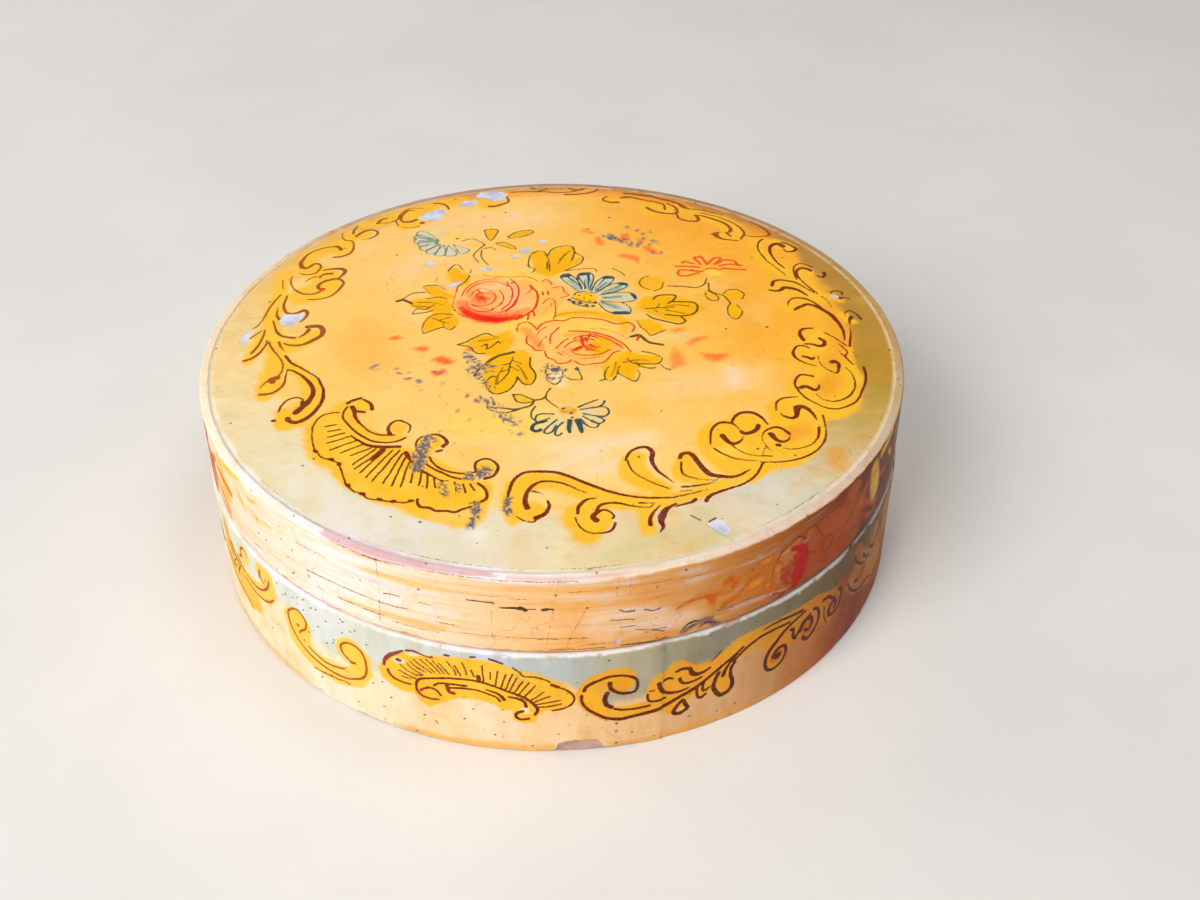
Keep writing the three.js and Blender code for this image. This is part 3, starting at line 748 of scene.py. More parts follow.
# Chips in the lid's paint down to the white gesso, and pale and pink patches under its flowers
LID_CHIPS = """
: 29.5,-64 32.2,-62.8 34,-66 33,-68 31,-66.5 / -20,72.5 -18.5,75 -13,75 -11.5,73.5 -12,70 -15,69.5 -17,71.3
 -19,71.5 / -35,60.5 -33,62.5 -32,64.5 -30,65.5 -27.5,65.5 -27.3,63 -28.5,60 -30.5,59 -33,59.5 / -64,12.5
 -63.5,15 -61.5,15.2 -60,14.5 -58.8,16 -58.8,13 -60,10.8 -61.5,9.7 -63.5,10.5 / -69.8,9 -70.8,8.5 -72,5
 -72.2,3 -71,2.8 -70,6
"""
LID_CHIP_LINES = """
3.2: -22.2,68.3 -21,68.5
1.6: 67.4,18.8 67.8,18.8
1.3: -17,33.5 -15,33.6
1.2: -24.5,26 -22.5,27.5
2.6: -6.7,42.3 -6.3,42.5
1.6: -2.5,46.8 -2.1,46.8
1.4: -9.1,39.5 -8.9,39.5
2: -30.2,36.5 -29.8,36.6
1: -10.1,60.8 -9.9,60.8
"""
LID_PATCHES = """
rose .9 .6: -45.4,-62.6,.5 -40,-66.4,.8 -33,-70.2,.9 -26,-73,.6 -19,-75,.4
blush .55 4: 0,-46,2.2 10,-38,2.2 20,-36,2
blush .5 4: 6,-47,2 18,-44,2.4
blush .6 4: 40,-12,2 40,-17,2
blush .4 9: 26,-18,4 44,-14,5
blush .3 9: -30,56,6 0,61,5
blush .25 8: -8,-38,6 4,-37,6
blush .3 6: -26,44,4 -36,34,4
lemon .4 5: -20,-30,4 -8,-33,5 4,-30,3
amber .25 8: -40,-8,5 -44,4,6
amber .22 9: 46,-2,6 44,22,6
"""
# The bunch of flowers in the middle of the lid
FLOWER_FILLS = """
leaf .96 .5: -5.3,40 -5,42 -3,42.3 -1.3,41 -.8,39.5 0,42 2.5,44 5,44 6,42.5 5.5,38 7.5,38.5 7.3,36 4.5,33.5
 2,31 -1,29 -3.5,31 -4.5,35 / -13.8,46.5 -12,47 -10,45.5 -8.8,43.5 -10,43.5 -13,45.5 / -17,53.5 -15.5,54
 -13.5,53.5 -14,50.5 -15.3,48 -16.5,50.5 / -11,49.5 -9,52 -5.5,53 -4.5,52 -6.5,50 -10,48.8 / -25.5,32
 -24.5,34.8 -23,34 -21.7,32.3 -20.3,32 -20,29 -20,26 -22,25.5 -24,28 -25.3,29.5 / -31.2,26 -30,26.3 -28,26
 -26,23.5 -24,22 -23,20 -27,20.5 -29.5,22.5 / -34,17.5 -33,20.5 -30,20.5 -25,20.5 -23.5,16 -24,13.5 -27,13.5
 -29.5,15 -32,16 / -30.3,9 -29.5,12 -27.5,13.8 -24,13.8 -22.5,12 -21.5,9.5 -23.5,6.5 -25.5,7.5 -28.5,6
 -29.8,6 / -20,0 -18,2.5 -15.5,3.8 -13,4 -9.5,6 -9,0 -11,-4 -15,-5 -17.5,-3 -18,-1 / -14,-5 -10,-3 -6,-3
 -4.8,-6 -5,-9 -3.8,-13 -4.5,-16 -6.5,-16.8 -8,-14.5 -9,-17 -11,-19.5 -13.5,-20 -15,-17 -16,-12 -15.5,-8 /
 10.5,-9.5 13,-5 17,-4 20,-5.5 24,-6 24,-8 21,-9.5 18.5,-11 18,-15 16.5,-15 14.5,-12 13,-14.5 11.5,-14.5 /
 20.5,17 22,19.5 26,19.8 30,19 34,17 36.5,14 34,11.5 30.5,8 27,8.5 23,12 20.5,13.5 / 19.5,9 20.5,6 21.5,4.5
 22.5,2.5 24.5,3.5 26,4.5 25.3,6.5 23.5,9 / 42.3,16 41.3,13.5 41.5,11 42.8,9 44.3,10.5 44.8,13 43.8,15.3
leaf .6 .8: -9,-20 -7,-20.3 -5.5,-21.5 -4.3,-22.5 -6,-23.3 -8,-22.8
leaf .5 .8: 36.8,21 37,18.8 38,17.5 39.5,17.5 39.8,19 38.5,20.8 37.5,21.8
coral .5 .9: 27.5,-2.5 29,-5 30,-9.5 26,-11.5 26.5,-7
coral .65 .8: 33,-4.8 35,-5.3 40,-5.5 38,-8 36,-8.5 34,-7
coral .7 .7: 19.5,51 18,50 17,46.5 18,46 20,49 / 16,39 18,40 21.5,38.8 22,37 21.8,34.8 20.5,37 18,38
coral .85 .7: -27.5,-5.5 -25,-4.3 -22,-7 -24,-8 -26.5,-6.8 / -32,-1 -29.5,0 -28,-1.5 -30,-2.5 / -27.5,-11
 -24.5,-9.5 -23.5,-11 -26,-12.2 / -38,3.5 -36,4.5 -34.5,3.5 -36.5,2.6 / -20,-1.5 -18,-1 -18.5,-2.8
 -19.8,-2.8
"""
FLOWER_WASHES = """
lemon .55 3: -10,24,9 -4,10,8 8,0,9
peach .8 1.6: -13.5,19.5,9.2 -13.4,19.5,9.2
pink .2 1.6: -13.5,21.5,8.2 -13.4,21.5,8.2
coral .2 1.2: -20.5,22,.8 -18.6,26.4,.9 -13,28.8,.7
coral .6 1.6: -21.8,18,1.2 -19.6,13.4,2 -14,12,1.9 -9.5,12.2,1.5 -6,14.5,.8
coral .4 1.2: -19.6,21.4,.7 -18.4,17.6,.9 -15,17,.7
coral .4 1: -15,22.4,.6 -13.4,20.4,.6 -13.8,18,.5
blush .4 1: -16.8,24.2,.8 -12.4,25.4,.8 / -10.2,24.6,.7 -8.9,20.6,.8 -10,16.2,.7
scarlet .97 .9: -21.6,16,.5 -19.8,13,1 -17,10.9,1.3 -13.5,10,1.3 -10,10.6,.9 -7.5,11.8,.5
coral .15 1.4: -9,22,2.2 -6.5,26,2.2 -5.5,20,1.6
peach .5 1.6: -9,21,3 -8,17,2.6
pink .4 1.6: -1,26,2 1.5,22,2.4 -1,16,2.6 -3.5,12.5,2
pink .25 2: 0,3,6 8,2,8.4 14,4,4 16.5,6,2
peach .5 2: -1,4,4 4,0,4 8,3,4 14,5,3.4
pink .4 1.6: 3,-5,3.2 9,-6,3.4 13,-3,2.6
leaf .75 1.2: 2,12,1 8,12.6,1.2 14,11,1.3 17,8,1.2 16.5,4.5,.9
lemon .6 1.8: 8.5,-2,3.6 8.4,-2,3.6
lemon .55 2.4: 4,5,3 12,5.5,3
scarlet .85 .8: -17.9,20.8,.6 -16.4,19.9,.9 -15.2,19.6,.4
scarlet .6 .6: -18.8,19.4,.3 -17.2,18.6,.4 -15.4,18.6,.3
scarlet .5 .6: -18.6,22.2,.2 -16.6,21.8,.3
leaf .85 1.4: 11.6,0,2 10.4,-3,2.2
scarlet .6 .7: 7.6,-1.6,.5 8.6,-2.2,.5
scarlet .5 .6: 9.2,-3.4,.3 10.2,-3.8,.3
amber .55 1.2: 6.5,.5,1.4 9,-1,1.4
coral .4 1: 3,3,.5 8,4,.6 13,1.5,.6 15.5,-1.5,.5
coral .4 1.2: -6.5,6,1 -3,-1.5,1
haze .55 2.4: 4.5,27,3 9,27,3.4 14,25.5,3.6 16,20,3.4 14.5,14.5,2.8
sea .72 .6: 7,23,.6 3.8,28.6,1.3 / 8,23,.7 8.6,29.3,1.6 / 10,22,.8 13.7,27.7,1.5 / 11.5,20.8,.8
 16.8,24.6,1.4 / 12,19.5,.9 18.6,19.2,1.4 / 11.5,16.8,.7 16.8,13.8,1.6
lake .45 .9: 6.2,23.8,.4 4.6,27.4,.7 / 9,24,.5 9,27.6,.8
lake .4 .9: 11.2,22.8,.5 13.2,26,.7
lake .5 .9: 12.4,21,.5 16,23.4,.6
lake .55 .9: 12.6,18.8,.4 16,19.6,.6
lake .6 .9: 12,17,.5 15.4,14.8,.7
leaf .95 .9: 8,18.8,2.6 8,18.9,2.6
lemon .6 .7: 7,19.8,.9 9.4,19.4,.9
haze .4 2: -28,51,2.4 -30,55.5,2
lemon .8 .9: -25,50,1.2 -24,50,1.1
lemon .85 .8: 39.2,30.3,1.6 40.2,30.2,1.5
leaf .7 .8: 43.5,19.8,2.6 43.6,19.8,2.6
leaf .6 1.2: 24,25.5,3.4 24,25.6,3.4
white .55 1.8: .6,-13,1.6 1.6,-16.4,1.4
haze .4 1.6: 24,1.5,2 31,1.5,1.8
coral .6 .8: 28,4.5,.6 30,5,.6
coral .55 .8: 31.5,-1,.8 33,.7,.8 35.3,1.3,.6 / 12,48,.9 12.5,45.5,.9
coral .7 .7: 24,43,1 26,40.5,.9
coral .5 .8: 8.5,52.5,.8 10.5,51,.6
coral .45 .8: 22,47.5,.7 23.5,46.5,.5
honey .75 .9: 2.4,-26.3,1.3 3.6,-26.5,1.1
lemon .6 .6: 2.6,-26,.5 3.2,-26,.5
sea .45 1: 1.6,-29,.7 -1,-32,.8
lake .5 .8: 3.2,-30,.5 3,-33,.7 / 5,-29.6,.5 5.6,-33,.7
sea .5 1: 6.4,-28,.8 9.6,-29.4,.8
sea .45 1: 6,-26.6,.6 10,-26.4,.8
haze .35 1.6: 1,-31,3 8,-29,2.6
"""
FLOWER_LINES = """
red .35: -20.6,22.5 -19,25.6 -16,27.4 -12.8,27.2 -10.6,25 / -21.8,20.6 -20.6,24.8 -17.4,28.2 -13.6,29
red .3-.5-.3: -9.2,27.6 -8,23.6 -8.4,19.4 -10.2,15.4 -12.8,12.8
red .35: -19.4,21.6 -18.4,23.6 -16.3,24.4 -14.1,22.6 -13.6,19.4 -15.2,17 -17.8,16.4 -19.6,17.8
red .4: -18.4,21.4 -16.8,22.6 -15.2,21.6
red .3: -19.4,17.2 -16.8,15.4 -13.6,15.6 -11.8,17.4
red .35: -12.6,23.4 -11.6,20.4 -12.4,17 -14.4,14.8
red .4: -20.4,14.6 -17,12.4 -13.6,11.8 -10.4,12.4
red .25: -6.5,21 -5,23.5 -5.2,26 / -1.8,14 -.4,15.5 -.2,17.2 / .6,11.2 2.8,12.4 5,12.8 8,12.8 11,12.2 /
 -3.8,2.6 -3,5 -1.6,6.8 / -3.4,-1.8 -2.6,1 -1.2,3 / 2,-3.6 3.4,-5.2 5.6,-6.4 8,-6.6 10.6,-6 / 8.5,5.6 12,5.2
 15,3.4 17.4,1
red .4: 4.6,1.4 6,2.6 8.4,2.8 10.6,1.6 / 3.6,-2.6 5,-4.6 7.6,-5.4 10.4,-5 12.8,-3.2
red .5: 6.2,.6 8,1.4 9.6,1 / 6.8,-1 7.6,-2.6 9,-3.2
red .3: 6,-2.6 7.6,-3.4 9.6,-2.8 10.8,-1.2
fern .5-.3: -1.5,40.5 -.8,37.8 -.4,35 / 3.5,40.5 2.5,37.8 1.5,35.5 / -32,18.8 -29,18.6 -26,17.4 / -28,11.6
 -26,10 -24,9 / -17,1.4 -14.6,1.8 -12.4,3
fern .6-.3: -12.8,-16 -12.4,-12.6 -11.2,-9.4 / -6,-14.4 -7,-11 -8.2,-8.4
fern .5-.3: 15.6,-8.4 18.4,-7.6 21.4,-7.8 / 14,-8.6 13.4,-11.6 12.6,-13.4 / 32.6,15 29.6,15.6 26.6,15.2 /
 31,11.8 28.6,12.6 26.4,13.2
teal .5-.2: 4,29.4 6,26 7.4,23.6 / 6.4,29.8 7.4,26.4 8.2,23.8
teal .6-.2: 9,30.2 9,27 8.6,24
teal .4-.2: 13,28.6 11.6,25.6 10.2,23 / 17,24.8 14.2,23 12,21.6
red .6: -5.3,25.2 -3.7,22.3 -3.5,19.1 -4.2,15 -6,12.3 -8.7,10
red .4: -22.6,26 -23.2,21 -23.6,17 -22.3,13.5 -19.5,11 / -20.5,19 -20,16 -17.5,14 -14,14.5 / -18,24 -17,22 /
 -11,27 -9.5,23 -10,18 -12,14.5 / -10,28.5 -8,24 -8.5,18 -11,13.5
red .35: -16.5,30.5 -14,30 -10.5,29.5 -8,29.8 -5,29 -3.5,27.5 / -2.5,27 -1.5,28 -.5,27 0,25.5 / 0,24
 2.5,24.5 3,22 4,20.5 2,19.5
red .5: -2.3,22.5 -2.2,20.8 / -1,22.5 -1,21
red .35: -2.2,17 -1,19 .5,18.5 .8,15 .6,12 .2,10
red .5: -4.5,13.5 -4.2,11.5 / -5.5,13 -5.8,10
red .45: -8.2,5 -8,8 -6,9 -4.5,7.5 -3.5,5.5 / -3.5,5.8 -2.5,8 0,9.3 2.5,9.2 4.5,10.5 8,10.2 12,9.3 15,7.5
 17.5,8 19,6.3 18.3,4 / -6,3 -6,0 -4.8,-1.5 -4,-3 -2.5,-3 / -2,-3.5 -1.5,-6 0,-7 1,-8.3 3,-8.3 4,-7.2 /
 4.5,-7.5 6.5,-9.2 9,-8.7 11,-8.4 12.5,-6.5 13.5,-4.5 15.2,-3.8 / 3.5,4.8 7,4.6 10.5,3.6 13.5,1.8 16,-.8
 17.6,-4.2
red .4: 9.5,3.2 12.5,1.3 14.5,-.8 16,-3 / 2.5,-2 4,0 5.5,1 / .5,-2.5 2,0 3.5,1.8 / -.8,-.5 -.5,3 1.5,6.5 /
 1,-4 2.3,-5.3
red .7: 6.5,2.5 6.8,-1
red .6: 7.5,2 7.8,.5 / 8.5,3.2 8.2,2
red 1.1: 5,-3 6.2,-2
red .6: 8.5,-1 9.5,-2
teal .35: 6.5,22.5 4,25.5 2.2,29 2.8,30.3 4.5,30.2 6,28 7.3,24
teal 1.5: 2.8,29.6 4,30
teal .35: 7.2,23 6.3,28 6.8,30.5 8.5,31 10,30 10,27 9,23
teal 1.3: 7.2,30.2 9,30.6
teal .35: 9.5,22.5 11,27 13,29 15,28.8 14.8,27 12.5,23.5 10.5,21.5
teal 1.1: 12.8,28.4 14.6,28.4
teal .35: 11,22 14,25 16.5,26 18,25.7 18,24 15.5,22 12,20.8
teal 1: 16.4,25.6 17.8,25.2
teal .35: 11.5,20.5 16,21.5 19.3,21 20,18.8 18.5,17.3 15,17 11.5,17.8
teal .9: 19.2,20.6 19.8,19
teal .35: 11,16.5 12.5,13.5 14.5,12 17,11.8 18.3,12.3 18.3,14.8 16.5,16.8
teal 1.2: 14.6,12.3 17.4,12.4
teal .4-.2: 8,23.5 8,27.5 / 10.5,22.3 13,26 / 12,19.3 16.5,19.5 / 11.8,17 15,14.6
teal .35: 5.2,20.6 6,21.8 8,22.2 10.2,21.4 / 4.6,19.6 6,18.4 8.4,17.2 10.6,16.6
teal .4: 4.8,17 6.6,15.8 8.8,14.9
teal .9: 4,18.5 4.2,18.4 / 5,17.5 5.2,17.4 / 6.5,17 6.7,16.9
teal .8: 8,16 8.2,15.9 / 9.5,15.5 9.7,15.5 / 10,17 10.2,17.1
olive .5: 6.3,20.5 6.5,20.5 / 7.6,19.2 7.8,19.2 / 9.2,20.2 9.4,20.2 / 8.9,17.9 9.1,17.9
olive .35: 3.8,32 5.5,32.5 10,33 11,31.5 / 15,33 17,31 18,29.5
.35: -5.5,34 -5.7,37 -5,40.5 -3.3,42 -1.5,41.5 -1,39.3 0,42.5 2.5,44.3 5.3,44 5.8,41 5,37 / 5.3,43.5
 6.3,40.5 7.8,38.8 7.5,36 5,33.5 3,32
.3: 2,37.5 4.7,42
.35: -1,36.5 -1.2,33 / -.5,36 -.5,32 / -6,35 -4,33 -4.8,31.5 / -16.5,46 -18.5,43 -19.3,40 -18,37 /
 -17.3,43.5 -17.5,40 -16.3,37 -15.5,35.2 / -17,44 -15,44.3 -13.7,42.8 / -13.8,46.5 -12,47 -10,45.5 -8.8,43.5
 -10,43.5 -13,45.5 -13.8,46.5 / -17,53.5 -15.5,54 -13.5,53.5 -14,50.5 -15.3,48 -16.5,50.5 -17,53.5 /
 -11,49.5 -9,52 -5.5,53 -4.5,52 -6.5,50 -10,48.8 -11,49.5 / -22.5,48 -20,49 -17.5,47 -16.8,45.5 / -25.5,33
 -24,36 -22.7,35.5 -21.5,33 -20,33.8 -20,31 -21,28 -22.5,26 / -31.3,26 -30,26.5 -27.5,26.3 -25.5,24 /
 -31,25.5 -29.3,23 / -36,20 -33.5,22.8 -30.5,23.3
.8: -37,19.5 -35.5,20 -33.5,18.5
.35: -33.5,18 -32.5,17 -29,16.5 / -30,20.5 -27,21 -25,20 / -33,13.5 -32,16 -30,15.5 -28,17.5 / -33,13.5
 -30,14.2 -28,15 / -29.8,5 -30.3,8 -29.2,11.5 -27.8,13.2 -26,13.5 -23.5,13 / -29.8,5 -28,6.2 -25.5,7.5
 -23.8,6.3 -22.5,8
.3: -26.5,10.5 -25,11.3 -24,11.8 / -25.8,10 -25.3,8
.4: -22,0 -20,1 -18,2.8 -15.5,4.5 -14,3.5 / -22,0 -19,-1 -18,-3 -17,-3.8 -15.5,-3.8
.35: -16.5,-1 -15,0 -15.2,-2 -14,-1 -12.5,1 -12,0
.5: -15.3,-.2 -15.1,-.2
.8: -9,-3.5 -12.5,-5 -14.5,-7 -16.5,-9.5 -17.5,-12.5
.4: -5.2,-6 -5.3,-9 -4,-13 -5,-16.3 -6.8,-16 -8,-13.3 / -8,-13.3 -8.5,-15.5 -10,-18.5 -12.5,-19.8
 -14.3,-18.5 -15,-15.5 -13.7,-13 -12.5,-13.3
.35: -9,-5.5 -9.8,-9 -10.3,-12 -12.5,-16
.3: -9.6,-8 -11.5,-8.6 / -10,-10.5 -12,-11.4 / -9.8,-9 -7.8,-11 / -9.3,-6.5 -7.2,-8.4
.4: 20,-4.2 22.5,-5 24.5,-7 23.5,-9 21.5,-9.2 19,-9 17.5,-8.5 16.5,-6.8 / 12.3,-10 11.3,-12.5 11.5,-15
 13,-15.3 14.3,-12 14.7,-10 / 14.5,-12.5 16,-14.5 18,-15.8 19.2,-13.5 18.8,-11.5 / 18.5,-8.5 19.3,-10
 21.5,-10.8 22.8,-10.6 / 24,-9.5 25,-11 26,-11.5 / 10,-15.5 11.3,-15 / -1.3,-8.5 -1.8,-12 -1.3,-15 .5,-16.5
 1.8,-14 2,-11.5 1,-9.5
slate 1.8: .2,-11 .4,-11
.4: 5.3,-10 5.8,-12.5 6.2,-14.8 4,-14.8 2.8,-14
slate 1: 5.1,-10.8 5.3,-10.8
.4: -.8,-18 -1.7,-20 -1.7,-22 -.3,-24 .8,-25.3
.5: -1.8,-21 -2.8,-22 -4.3,-22.5 -4.7,-23.8 -6,-24.8 -8.5,-25.5 -11,-25 -14.5,-24.3
.4: -9,-20 -7,-20.3 -5.5,-21.5 -4.3,-22.5 -6,-23.3 -8,-22.8 -9,-20 / -14.5,-24.3 -14,-25.5 -11,-26.7
 -8.5,-26 -7.5,-25.5
teal .45: 0,-27.5 -3,-27.3 -4,-28.3 -4,-30 -3,-30 -1,-29
.4: -4,-24.5 -5,-26.5 -5,-28.5 -4.5,-29.3
teal .9: -2,-30 -4.3,-31 -4.8,-32.8 -3.8,-33.5 -3,-33
teal .45: .5,-29.5 -1.5,-32 -2.3,-33.8 -1.5,-34.3 -.5,-33.5 .3,-31.5 / 1.8,-30.5 .5,-32.5 0,-34.5 .8,-35.2
 1.5,-34.3
teal 1.1-.8: 3.3,-30 3,-32.5 3.2,-34
teal 1.3-.9: 4.9,-30 5.4,-32.3 5.7,-34
teal .45: 5.5,-29.5 7,-32 8.5,-32.7 9.3,-31.5 8,-30 / 6,-28.5 8.5,-30.8 10,-31 10.5,-29.8 9,-28.5 / 6,-27.5
 9,-28.5 11,-28.3 11.7,-26.8 10.8,-25.3 8,-25.3 / 5.5,-26 9,-25.3 10.5,-24.3 11,-23 / 5,-25.3 8,-23.3
 9.5,-22.5
teal .6: 1.8,-25.6 2,-25.6 / 3.4,-27.4 3.6,-27.4
teal .7: -23.9,49.3 -23.7,49.3
fire .7: 37,31 34,31.5 31.5,31.8 31,29.5 33,29 36,30.3 / 36.5,33 33.5,33.5 30.5,33.8 / 35,34.8 33,36
 32.3,35.3 / 37,34.5 35.5,37.5 36.3,38 / 38.5,34.5 37.3,38.3 36.8,38 / 39,35 40.5,37.5 42,37.8 41.8,36.5
 40.3,34.5 / 41,34.8 43,36.5 45.5,36 45.8,35 / 41.5,33.8 44.5,34.5 47,33.8 / 42,32.5 45,32 47.8,31.8
fire .5: 37.5,31.8 39.5,32.6 41.5,31.8
olive .4: 37.7,27.5 37,25 35,23.3 33,23.8 28,24.2 / 38,25.5 38,22 39.5,20.5 41.2,19.5 42,17.5 42.5,16
.4: 36.8,21 37,18.8 38,17.5 39.5,17.5 39.8,19 38.5,20.8 37.5,21.8
.35: 42.3,16 41.3,13.5 41.5,11 42.8,9 44.3,10.5 44.8,13 43.8,15.3 / 41.2,20.5 42.6,22.3 44.8,22.2 46.2,20.4
 45.4,18 / 23.5,29 22,28 21.3,26 21.8,24 23.5,22.5 / 27,26 26.5,23.5 24.5,21.8
.5: 24,18.3 25.5,19.8 29.3,20 29,18 27.5,16.3 / 28,17 31,17 34,16.3 34.3,13.5 33,11.5 30,10.7 26.5,11.3 /
 30,10.5 31,8.5 29.5,7.2 27,8 24,9.5 22,11.5
.35: 22,14 25,14.3 29,14.7
.3: 24.5,14.2 25.5,16.2 / 26.5,14.4 27.5,13 / 23.5,14 24.6,12.6
.35: 19.5,9 20.5,6 21.5,4.5 22.5,2.5 24.5,3.5 26,4.5
.8: 18,2 20,2.5 22,-.5 25,-1.5
red .6: 19.8,2.5 19.3,.5
"""
# Worn places on the lid, where flecks of the grey coat below show
SCUFFS = """
slate .75: -26.5,-35.5,1.3 -28.3,-40,1.5 -28.5,-45,1.2
slate .7: -17.5,-48,1.2 -14.5,-46.8,1.5
slate .6: -23,-50,.7 -22.2,-55,.6
slate .55: -20,-51,.5 -19.5,-54,.5
slate .7: -16.2,-57,1 -16,-61,.9 -17,-63.5,.6 / -9.9,-56,.9 -9.6,-60,.8
slate .45: -35.4,-9,.9 -33,-11.5,1.1 -31.5,-14.5,.9
slate .3: -41,-7,1 -38.5,-12,1
slate .4: -30,-13,1 -29,-18,.9
slate .6: -19.5,-5,1.3 -17.5,-8,1.6 -14.5,-10,1.6
slate .5: -18.5,-10,1.4 -16,-14,1.4 -14,-17,1.2
slate .45: -19.5,-19,1.6 -15,-21.5,1.6 -13,-24,1.6
slate .5: -12,-27,1.4 -9,-30,1.6
slate .35: -24,-22,1.4 -21,-26,1.4 -18,-29,1.2
slate .3: -8,-34,1.6 -4,-36,1.2
slate .5: -1,-10,1.6 0,-14,2 1.5,-11,1.4
slate .3: -26,-10,1.4 -24,-15,1.4
slate .55: 14,49,1.4 18,47.5,1.6 21,44.5,1.4
slate .5: 20,53,1.4 25,51,1.4
slate .45: 23,47,1.2 27,45,1.2
slate .3: 26,41,1.4 30,38,1
haze .5: -20,33,2 -12,34,1.6
haze .45: -8,41,1.8 -14,38,1.2
slate .35: -24.5,22,1 -29,31,1
slate .2: 33,22,1.2 38,24,1
"""
PETALS = """
mist sea .25-.4-.3 2.7: -28.2,48.6 -33.8,53 / -28.5,48.4 -34.5,50.8 / -28.5,48 -34.5,49 / -28.5,47.6
 -33.5,46.8 / -28.2,47 -32.8,44.6 / -27.8,46.6 -30.5,42 / -27,46.4 -28,40.8 / -26,46.2 -24.8,40.7 /
 -24.8,46.4 -21.3,42.3
"""
